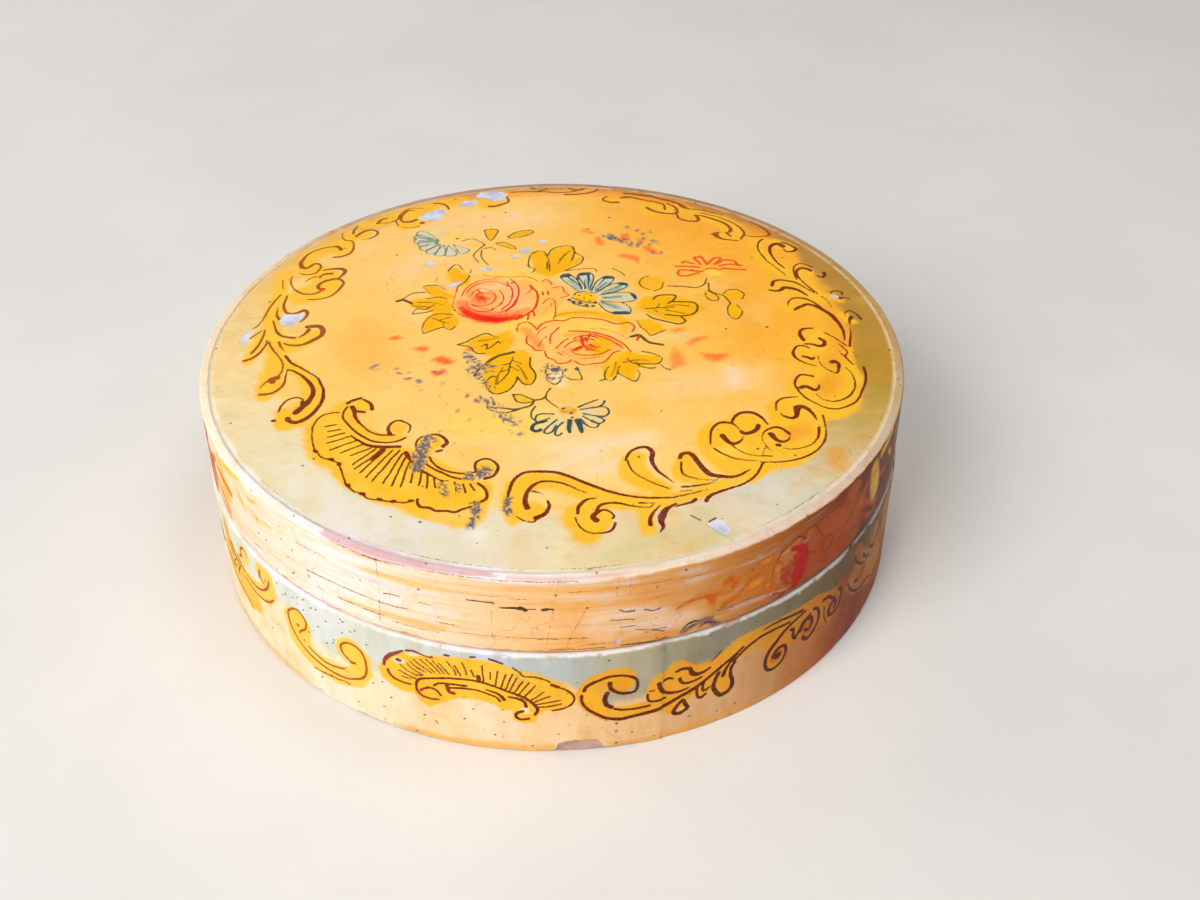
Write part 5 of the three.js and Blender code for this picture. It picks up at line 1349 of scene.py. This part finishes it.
def paint_lid_wall():
    """The painting on the lid wall: streaked orange paint, cracked, with a worn garland."""
    c, x, z = wall_canvas(LID_FOOT, LID_TOP, 60)
    long, mid, lumps = c.noise(34, 2.0, 61), c.noise(14, 1.1, 62), c.noise(9, 7, 63)
    ground = colour_round(x, LID_WALL)
    # tone is the ground's red, so the painted shade on the right also darkens the streaks and worn foot below
    tone = ground[..., :1]
    for share, tint in (
        (ease(-long + 0.5 * lumps, 0.1, 1.3) * 0.6, rgb(254, 229, 216)),
        (ease(mid - 0.5 * long, 0.6, 1.4) * 0.75, rgb(247, 222, 224)),
        (ease(long + 0.5 * mid, 0.6, 1.5) * 0.75, rgb(253, 192, 104)),
    ):
        ground = blend(ground, share, tone * tint)
    c.ground[:] = ground
    for right in LID_REPEATS:
        c.draw(GARLAND_LINES, "rust", GARLAND_FILLS, GARLAND_WASHES, right=right)
    c.draw(LID_CRACKS, "crack", LID_WALL_FILLS, chips=LID_WALL_CHIPS)
    worn = c.noise(6, 1.2, 64) + 0.7 * c.noise(1.2, 0.7, 65)
    front = ease(np.abs(x + 40), 65, 30)
    bare_from, bare_to = LID_TOP - 0.5 - 0.3 * front, LID_TOP - 0.25 - 0.25 * front
    top_loss = ease(z + (0.3 + 0.4 * front) * worn, bare_from, bare_to)
    foot_loss = ease(LID_FOOT + 0.6 + 0.45 * worn - z, -0.1, 0.4)
    # the worn top edge takes the rim's colours, darker on the right as painted shade
    c.coat(top_loss * (0.85 + 0.1 * front), colour_round((x / ROUND * 360) % 360, RIM))
    c.draw(RIM_LINES, "crack", RIM_FILLS)
    c.coat(foot_loss * 0.55, tone * rgb(180, 116, 68))
    dark_line = ease(-c.ink_edge, 0.0, 0.15) * (c.ink[..., 0] < 0.3)
    c.sunk[:] = 0.10 * top_loss + 0.012 * np.clip(1.4 + mid, 0.2, 3)
    c.sunk += 0.16 * ease(z, LID_TOP - 0.9, LID_TOP + 0.3) * ease(c.noise(3.0, 1.2, 67), 0.4, 1.0)
    c.sunk += 0.15 * ease(-c.chip_edge, 0.0, 0.3) + 0.10 * dark_line
    return c


def arc(cx, cz, radius, start, end, parts):
    """Points of a rounded corner, angles in degrees."""
    turns = np.radians(np.linspace(start, end, parts + 1))
    return np.stack([cx + radius * np.cos(turns), cz + radius * np.sin(turns)], -1)


def wall_profile(inner, outer, foot, top, worn, lip):
    """A wall's closed outline as radius, height and height unrolled past its edges."""
    low = foot + ARRIS
    up = np.linspace(low, top - worn, round((top - worn - low) / WALL_STEP) + 1)
    down = np.linspace(top - lip, low, 6)
    line = np.vstack([
        arc(outer - ARRIS, low, ARRIS, -90, 0, 3)[:-1],
        np.stack([np.full(len(up), outer), up], -1)[:-1],
        arc(outer - worn, top - worn, worn, 0, 90, 4),
        [(outer - worn + share * (inner + lip - outer + worn), top) for share in (1 / 3, 2 / 3)],
        arc(inner + lip, top - lip, lip, 90, 180, 3)[:-1],
        np.stack([np.full(len(down), inner), down], -1),
        arc(inner + ARRIS, low, ARRIS, 180, 270, 3)[1:],
    ])
    along = np.concatenate([[0], np.cumsum(np.hypot(*np.diff(line, axis=0).T))])
    return line[:, 0], line[:, 1], along - along[3] + low


def wall(name, canvas, size, body, node, material, lap=False):
    """A painted band. Its outside and edges take the canvas, and its inside is bare pulp."""
    inner, outer, foot, top, worn, lip = size
    r, z, along = wall_profile(*size)
    rows = np.arange(len(r) + 1)
    middles = np.interp(rows[:-1] + 0.5, rows[:-1], along)
    U, A = np.meshgrid((np.arange(COLUMNS) + 0.5) * ROUND / COLUMNS, middles)
    edges = (A > top - worn - RIM_BAND) | (A < foot + RIM_BAND)
    busy = canvas.near_lines(U, A, NEAR_ON_WALL) | canvas.colour_changes(U, A) | edges
    # Cells on the rounded edges stay whole.
    v, u, faces = lattice(busy & (A > foot + 0.6) & (A < top - worn - 0.3), closed=True)
    radius = np.interp(v, rows, np.append(r, r[0]))
    height = np.interp(v, rows, np.append(z, z[0]))
    reach = np.interp(v, rows, np.append(along, along[-1] + 0.3))
    # The painted side ends where the outline has come round to the inner face.
    painted = reach < along[r <= inner + 1e-6][0] - 0.01
    angle = u * 360 / COLUMNS
    x = angle * ROUND / 360
    sunk = canvas.read_at(canvas.sunk, x, reach) * painted
    if lap:
        start = LAP_ANGLE + 0.1  # past the vertices that stand on the lap's edge
        share = np.clip((angle - start) / LAP_FADE, 0, 1)
        sunk = sunk + LAP_STEP * (1 - share) ** 2 * (angle > start) * (radius > outer - 0.6)
    # On the worn edge the surface sinks at right angles to it.
    onto_top = np.clip((height - (top - worn)) / worn, 0, 1) * (radius > inner + 0.5)
    radius = radius - sunk * np.sqrt(1 - onto_top**2)
    height = height - sunk * onto_top
    turn = np.radians(angle)
    places = np.stack([radius * np.sin(turn), -radius * np.cos(turn), height], -1)
    extras = canvas.carried(x, reach)
    extras["ground"] = np.where(painted[:, None], extras["ground"], rgb(*BARE))
    for edge in ("ink_edge", "chip_edge"):
        extras[edge] = np.where(painted, extras[edge], FAR)
    extras["painted"] = painted
    new_piece(name, places, faces, body, [node], material, extras)


CHIP_DEPTH = 0.05  # of a chip in the lid's top, shallower than those in the walls


def disc_places(row, col, radius):
    """Places of the board's square grid pressed into a disc, with cells of equal size."""
    a, b = 2 * col / BOARD_CELLS - 1, 2 * row / BOARD_CELLS - 1
    wide = np.abs(a) > np.abs(b)
    r = np.where(wide, a, b)
    with np.errstate(divide="ignore", invalid="ignore"):
        slant = np.where(wide, b / a, a / b)
    slant = np.nan_to_num(slant) * math.pi / 4
    angle = np.where(wide, slant, math.pi / 2 - slant)
    return radius * r * np.cos(angle), radius * r * np.sin(angle)


def board(name, canvas, body, node, material):
    """The lid's board: its top from a fine grid, then its rounded rim and its underside."""
    reach = LID_INNER - JOINT_LINE - JOINT_ARRIS
    mid = np.arange(BOARD_CELLS) + 0.5
    x, y = disc_places(*np.meshgrid(mid, mid, indexing="ij"), reach)
    busy = canvas.near_lines(x, y, NEAR_ON_BOARD) | (np.hypot(x, y) > reach - RIM_BAND)
    busy[[0, -1]] = busy[:, [0, -1]] = False
    row, col, faces = lattice(busy)
    x, y = disc_places(row, col, reach)
    # What the top carries
    face = {"painted": np.ones(len(x)), **canvas.carried(x, y)}
    z = LID_TOP + TOP_CROWN * (1 - (x**2 + y**2) / reach**2)
    z = z - canvas.read_at(canvas.sunk, x, y) - CHIP_DEPTH * ease(-face["chip_edge"], 0, 0.25)
    # The vertices along the grid's edge, in order
    rim = np.nonzero((row == 0) | (row == BOARD_CELLS) | (col == 0) | (col == BOARD_CELLS))[0]
    rim = rim[np.argsort(np.arctan2(y[rim], x[rim]))]
    turn, n, first = np.arctan2(y[rim], x[rim]), len(rim), len(x)
    under = LID_TOP - TOP_THICKNESS
    corner = arc(reach, LID_TOP - JOINT_ARRIS, JOINT_ARRIS, 90, 0, 3)[1:]
    inward = [(r, under + TOP_CROWN * (1 - (r / reach) ** 2)) for r in reach * np.linspace(0.9, 0.1, 7)]
    loops = np.vstack([corner, arc(reach, under + JOINT_ARRIS, JOINT_ARRIS, 0, -90, 3), inward])
    ring = [np.stack([r * np.cos(turn), r * np.sin(turn), np.full(n, h)], -1) for r, h in loops]
    places = np.vstack([np.stack([x, y, z], -1), *ring, [[0, 0, under + TOP_CROWN]]])
    previous = rim.tolist()
    for k in range(len(loops)):
        now = list(range(first + k * n, first + (k + 1) * n))
        faces += [(previous[i], now[i], now[(i + 1) % n], previous[(i + 1) % n]) for i in range(n)]
        previous = now
    faces += [(previous[i], len(places) - 1, previous[(i + 1) % n]) for i in range(n)]
    # What the rim and the underside carry
    more = len(places) - first
    edge = np.arange(more) < n * len(corner)
    rest = {
        "painted": edge, "ground": np.where(edge[:, None], rgb(*RIM_CORNER), rgb(*BARE)),
        "ink": np.zeros((more, 3)), "ink_edge": np.full(more, FAR), "chip_edge": np.full(more, FAR),
    }
    extras = {key: np.concatenate([face[key], rest[key]]) for key in face}
    new_piece(name, places, faces, body, [node], material, extras)


CRACK_WIDTH, PAINT_RELIEF, PULP_RELIEF = 0.00006, 0.00006, 0.00012  # in metres


def painted_material(name, streaks, streak_show, speck_share, crack_scale, crack_show, gloss, gesso_tone):
    """Old paint under varnish.

    streaks stretches its grain along or across the wall, and streak_show is how much of it shows.
    speck_share is the share of places with a speck. gloss is its roughness where it is smoothest.
    """
    n = Nodes(bpy.data.materials.new(name))
    ground, ink = n.attribute("ground", "Color"), n.attribute("ink", "Color")
    ink_edge, chip_edge, painted = (n.attribute(k) for k in ("ink_edge", "chip_edge", "painted"))
    broad, patch = n.noise(55, 4.0, 0.6), n.noise(230, 4.0, 0.6)
    fine, grain = n.noise(900, 3.0, 0.6), n.noise(3200, 2.0, 0.6)
    brush = n.noise(1.0, 4.0, 0.6, at=n.stretched(*streaks))
    # Ground: broad fading, brush marks and fine grain. A tint over 1 lightens.
    colour = ground
    for texture, start, end, share, tint in (
        (broad, 0.4, 0.7, 1.0, (1.03, 1.05, 1.2)),
        (patch, 0.5, 0.8, streak_show, (0.92, 0.78, 0.5)),
        (brush, 0.5, 0.8, streak_show, (1.04, 1.1, 1.35)),
        (brush, 0.5, 0.22, streak_show, (0.9, 0.74, 0.5)),
        (fine, 0.35, 0.7, 0.5, (1.02, 1.04, 1.1)),
    ):
        shown = n.span(texture, start, end, 0.0, share)
        colour = n.mix(shown, colour, (*tint, 1.0), "MULTIPLY")
    # Brush lines with a ragged edge, thinner where the brush ran dry
    ragged = n.math("ADD", ink_edge, n.span(grain, 0.25, 0.75, -0.07, 0.07))
    ragged = n.math("ADD", ragged, n.span(patch, 0.55, 0.8, 0.0, 0.08))
    drawn = n.span(ragged, -0.05, 0.07, 1.0, 0.0)
    colour = n.mix(n.math("MULTIPLY", drawn, n.span(fine, 0.3, 0.75, 1.0, 0.9)), colour, ink)
    # Fine cracks in the varnish, which hold dirt
    crack = n.cracks(crack_scale, CRACK_WIDTH, 0.5)
    crack = n.math("MULTIPLY", crack, n.span(broad, 0.42, 0.62, 0.0, crack_show))
    colour = n.mix(crack, colour, n.paint(120, 72, 36))
    # Specks of dirt and pinholes
    dots = n.add("TexVoronoi", {"Vector": n.at, "Scale": 520.0, "Randomness": 1.0})
    pick, size, strength = n.add("SeparateColor", {0: dots.outputs["Color"]}).outputs
    chosen = n.math("GREATER_THAN", pick, 1.0 - speck_share)
    inside = n.math("LESS_THAN", dots.outputs["Distance"], n.span(size, 0.0, 1.0, 0.06, 0.2))
    speck = n.math("MULTIPLY", n.math("MULTIPLY", chosen, inside), n.span(strength, 0.0, 1.0, 0.25, 0.85))
    colour = n.mix(speck, colour, n.paint(92, 62, 40))
    # Chips down to the white gesso
    chip = n.span(n.math("ADD", chip_edge, n.span(fine, 0.3, 0.7, -0.18, 0.18)), -0.05, 0.08, 1.0, 0.0)
    gesso = n.mix(n.span(patch, 0.35, 0.7), n.paint(*gesso_tone), n.paint(*[0.84 * v for v in gesso_tone]))
    colour = n.mix(chip, colour, gesso)
    # Bare pulp inside
    bare = n.math("SUBTRACT", 1.0, painted)
    colour = n.mix(bare, colour, n.mix(n.span(fine, 0.3, 0.7), n.paint(*BARE), n.paint(150, 116, 78)))
    rough = n.sum((n.span(patch, 0.3, 0.75, gloss, gloss + 0.16), 1.0), (chip, 0.4), (bare, 0.4))
    rough = n.math("MINIMUM", rough, 1.0)
    height = n.sum((fine, 0.5), (patch, 1.2), (brush, 0.7), (drawn, 0.5), (chip, -1.5), (crack, -1.0))
    varnish = {"Specular IOR Level": 0.12, "Coat Weight": 0.04, "Coat Roughness": 0.25}
    return n.finish(n.surface(colour, rough, height, PAINT_RELIEF, varnish))


def pulp_material(name, r, g, b):
    """Pressed paper pulp: laid in soft flakes, with fibres and a few darker shreds."""
    n = Nodes(bpy.data.materials.new(name))
    flakes, fibre = n.noise(260, 5.0, 0.65), n.noise(1.0, 4.0, 0.65, at=n.stretched(180, 180, 2600))
    grain = n.noise(2600, 2.0, 0.6)
    colour = n.mix(n.span(flakes, 0.3, 0.7), n.paint(r, g, b), n.paint(r * 0.78, g * 0.76, b * 0.72))
    pale = n.paint(min(r * 1.2, 255), g * 1.18, b * 1.12)
    colour = n.mix(n.span(fibre, 0.5, 0.8, 0.0, 0.5), colour, pale)
    shred = n.math("MULTIPLY", n.cracks(330.0, 0.0001, 0.6), n.span(flakes, 0.5, 0.65, 0.0, 0.4))
    colour = n.mix(shred, colour, n.paint(r * 0.45, g * 0.42, b * 0.4))
    height = n.sum((flakes, 1.0), (fibre, 0.8), (grain, 0.4))
    return n.finish(n.surface(colour, n.span(grain, 0.3, 0.7, 0.78, 0.95), height, PULP_RELIEF))


lid_top_paint, lid_wall_paint, base_wall_paint = (
    painted_material(*values) for values in (
        ("painted_lid_top", (200, 320, 160), 0.35, 0.08, 90.0, 0.35, 0.36, (222, 222, 236)),
        ("painted_lid_wall", (60, 60, 1100), 0.9, 0.24, 70.0, 0.55, 0.46, (236, 220, 212)),
        ("painted_base_wall", (300, 300, 90), 0.6, 0.3, 80.0, 0.35, 0.42, (208, 170, 156)),
    )
)
pulp = pulp_material("bare_papier_mache", *BARE)
floor_pulp = pulp_material("bare_papier_mache_board", 166, 130, 90)

lid_size = (LID_INNER, LID_OUTER, LID_FOOT, LID_TOP, LID_ARRIS, JOINT_ARRIS)
base_size = (BASE_INNER, BASE_RADIUS, 0.0, BASE_HEIGHT, SEAM_ARRIS, ARRIS)
board("lid_top_painted", paint_lid_top(), "lid", "lid_panel", lid_top_paint)
wall("lid_wall_painted", paint_lid_wall(), lid_size, "lid", "lid_band", lid_wall_paint)
wall("base_wall_painted", paint_base_wall(), base_size, "base", "base_band",
     base_wall_paint, lap=True)
for node, material in (("base_panel", floor_pulp), ("base_collar", pulp)):
    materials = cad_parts[node].data.materials
    materials.clear()
    materials.append(material)

# Camera, fitted to the photograph's view of the round edges
REACH, ELEVATION, YAW, PITCH, ROLL = 0.3827, 0.6902, -0.0290, 0.0353, 0.0216
FOCAL_PIXELS, PICTURE_WIDTH, SENSOR = 1541.56, 1200, 36.0


def turned(v, axis, angle):
    """A vector turned about an axis that is square to it."""
    return v * math.cos(angle) + np.cross(axis, v) * math.sin(angle)


stand = REACH * np.array([0, -math.cos(ELEVATION), math.sin(ELEVATION)])
ahead, right = -stand / REACH, np.array([1.0, 0.0, 0.0])
up = np.cross(right, ahead)
ahead, right = turned(ahead, up, YAW), turned(right, up, YAW)
ahead, up = turned(ahead, right, PITCH), turned(up, right, PITCH)
right, up = turned(right, ahead, ROLL), turned(up, ahead, ROLL)
lens = bpy.data.cameras.new("camera")
lens.sensor_width, lens.lens = SENSOR, FOCAL_PIXELS / PICTURE_WIDTH * SENSOR
camera = bpy.data.objects.new("camera", lens)
bpy.context.scene.collection.objects.link(camera)
place = np.eye(4)
place[:3] = np.stack([right, up, -ahead, stand], -1)
camera.matrix_world = Matrix(place.tolist())
bpy.context.scene.camera = camera

# Soft rectangular lamps
WARM, AIM = (1.0, 0.985, 0.96), Vector((0, 0, 0.03))
for name, where, width, height, power in (
    ("key", (-0.75, -0.95, 1.0), 0.8, 0.8, 21.0),
    ("overhead", (0.25, -0.1, 1.4), 0.9, 0.9, 8.2),
    ("back", (-0.75, 1.05, 0.35), 0.8, 0.5, 3.4),
):
    light = bpy.data.lights.new(name, "AREA")
    light.shape, light.size, light.size_y = "RECTANGLE", width, height
    light.energy, light.color = power, WARM
    lamp = bpy.data.objects.new(name, light)
    bpy.context.scene.collection.objects.link(lamp)
    lamp.location = where
    lamp.rotation_euler = (Vector(where) - AIM).to_track_quat("Z", "Y").to_euler()

# The camera sees a paler backdrop than the one that lights the box.
BACKDROP = (0.52, 0.51, 0.5, 1.0)
sky = Nodes(bpy.data.worlds.new("world"))
dim = sky.add("Background", {"Color": (0.9, 0.92, 1.0, 1.0), "Strength": 0.12}).outputs[0]
seen = sky.add("Background", {"Color": BACKDROP}).outputs[0]
choice = sky.add("MixShader", {0: sky.sees_backdrop(), 1: dim, 2: seen}).outputs[0]
bpy.context.scene.world = sky.finish(choice, "OutputWorld")

HALF = 3.0  # half the floor's width, in metres
corners = [(-HALF, -HALF, 0), (HALF, -HALF, 0), (HALF, HALF, 0), (-HALF, HALF, 0)]
floor_mesh = bpy.data.meshes.new("floor")
floor_mesh.from_pydata(corners, [], [(0, 1, 2, 3)])
floor = bpy.data.objects.new("floor", floor_mesh)
bpy.context.scene.collection.objects.link(floor)
pale = Nodes(bpy.data.materials.new("pale_floor"))
clouded = pale.span(pale.noise(14.0, 3.0), 0.3, 0.7)
tone = pale.mix(clouded, pale.paint(228, 226, 223), pale.paint(222, 220, 218))
lit = pale.surface(tone, 0.75, pale.noise(300.0, 2.0), 0.00005)
# Far from the box the camera sees the floor go over into the backdrop.
distance = pale.add("VectorMath", {0: pale.at}, operation="LENGTH").outputs["Value"]
share = pale.math("MULTIPLY", pale.span(distance, 0.45, 1.5), pale.sees_backdrop())
glow = pale.add("Emission", {"Color": BACKDROP}).outputs[0]
floor.data.materials.append(pale.finish(pale.add("MixShader", {0: share, 1: lit, 2: glow}).outputs[0]))

bpy.context.scene.view_settings.view_transform = "Standard"
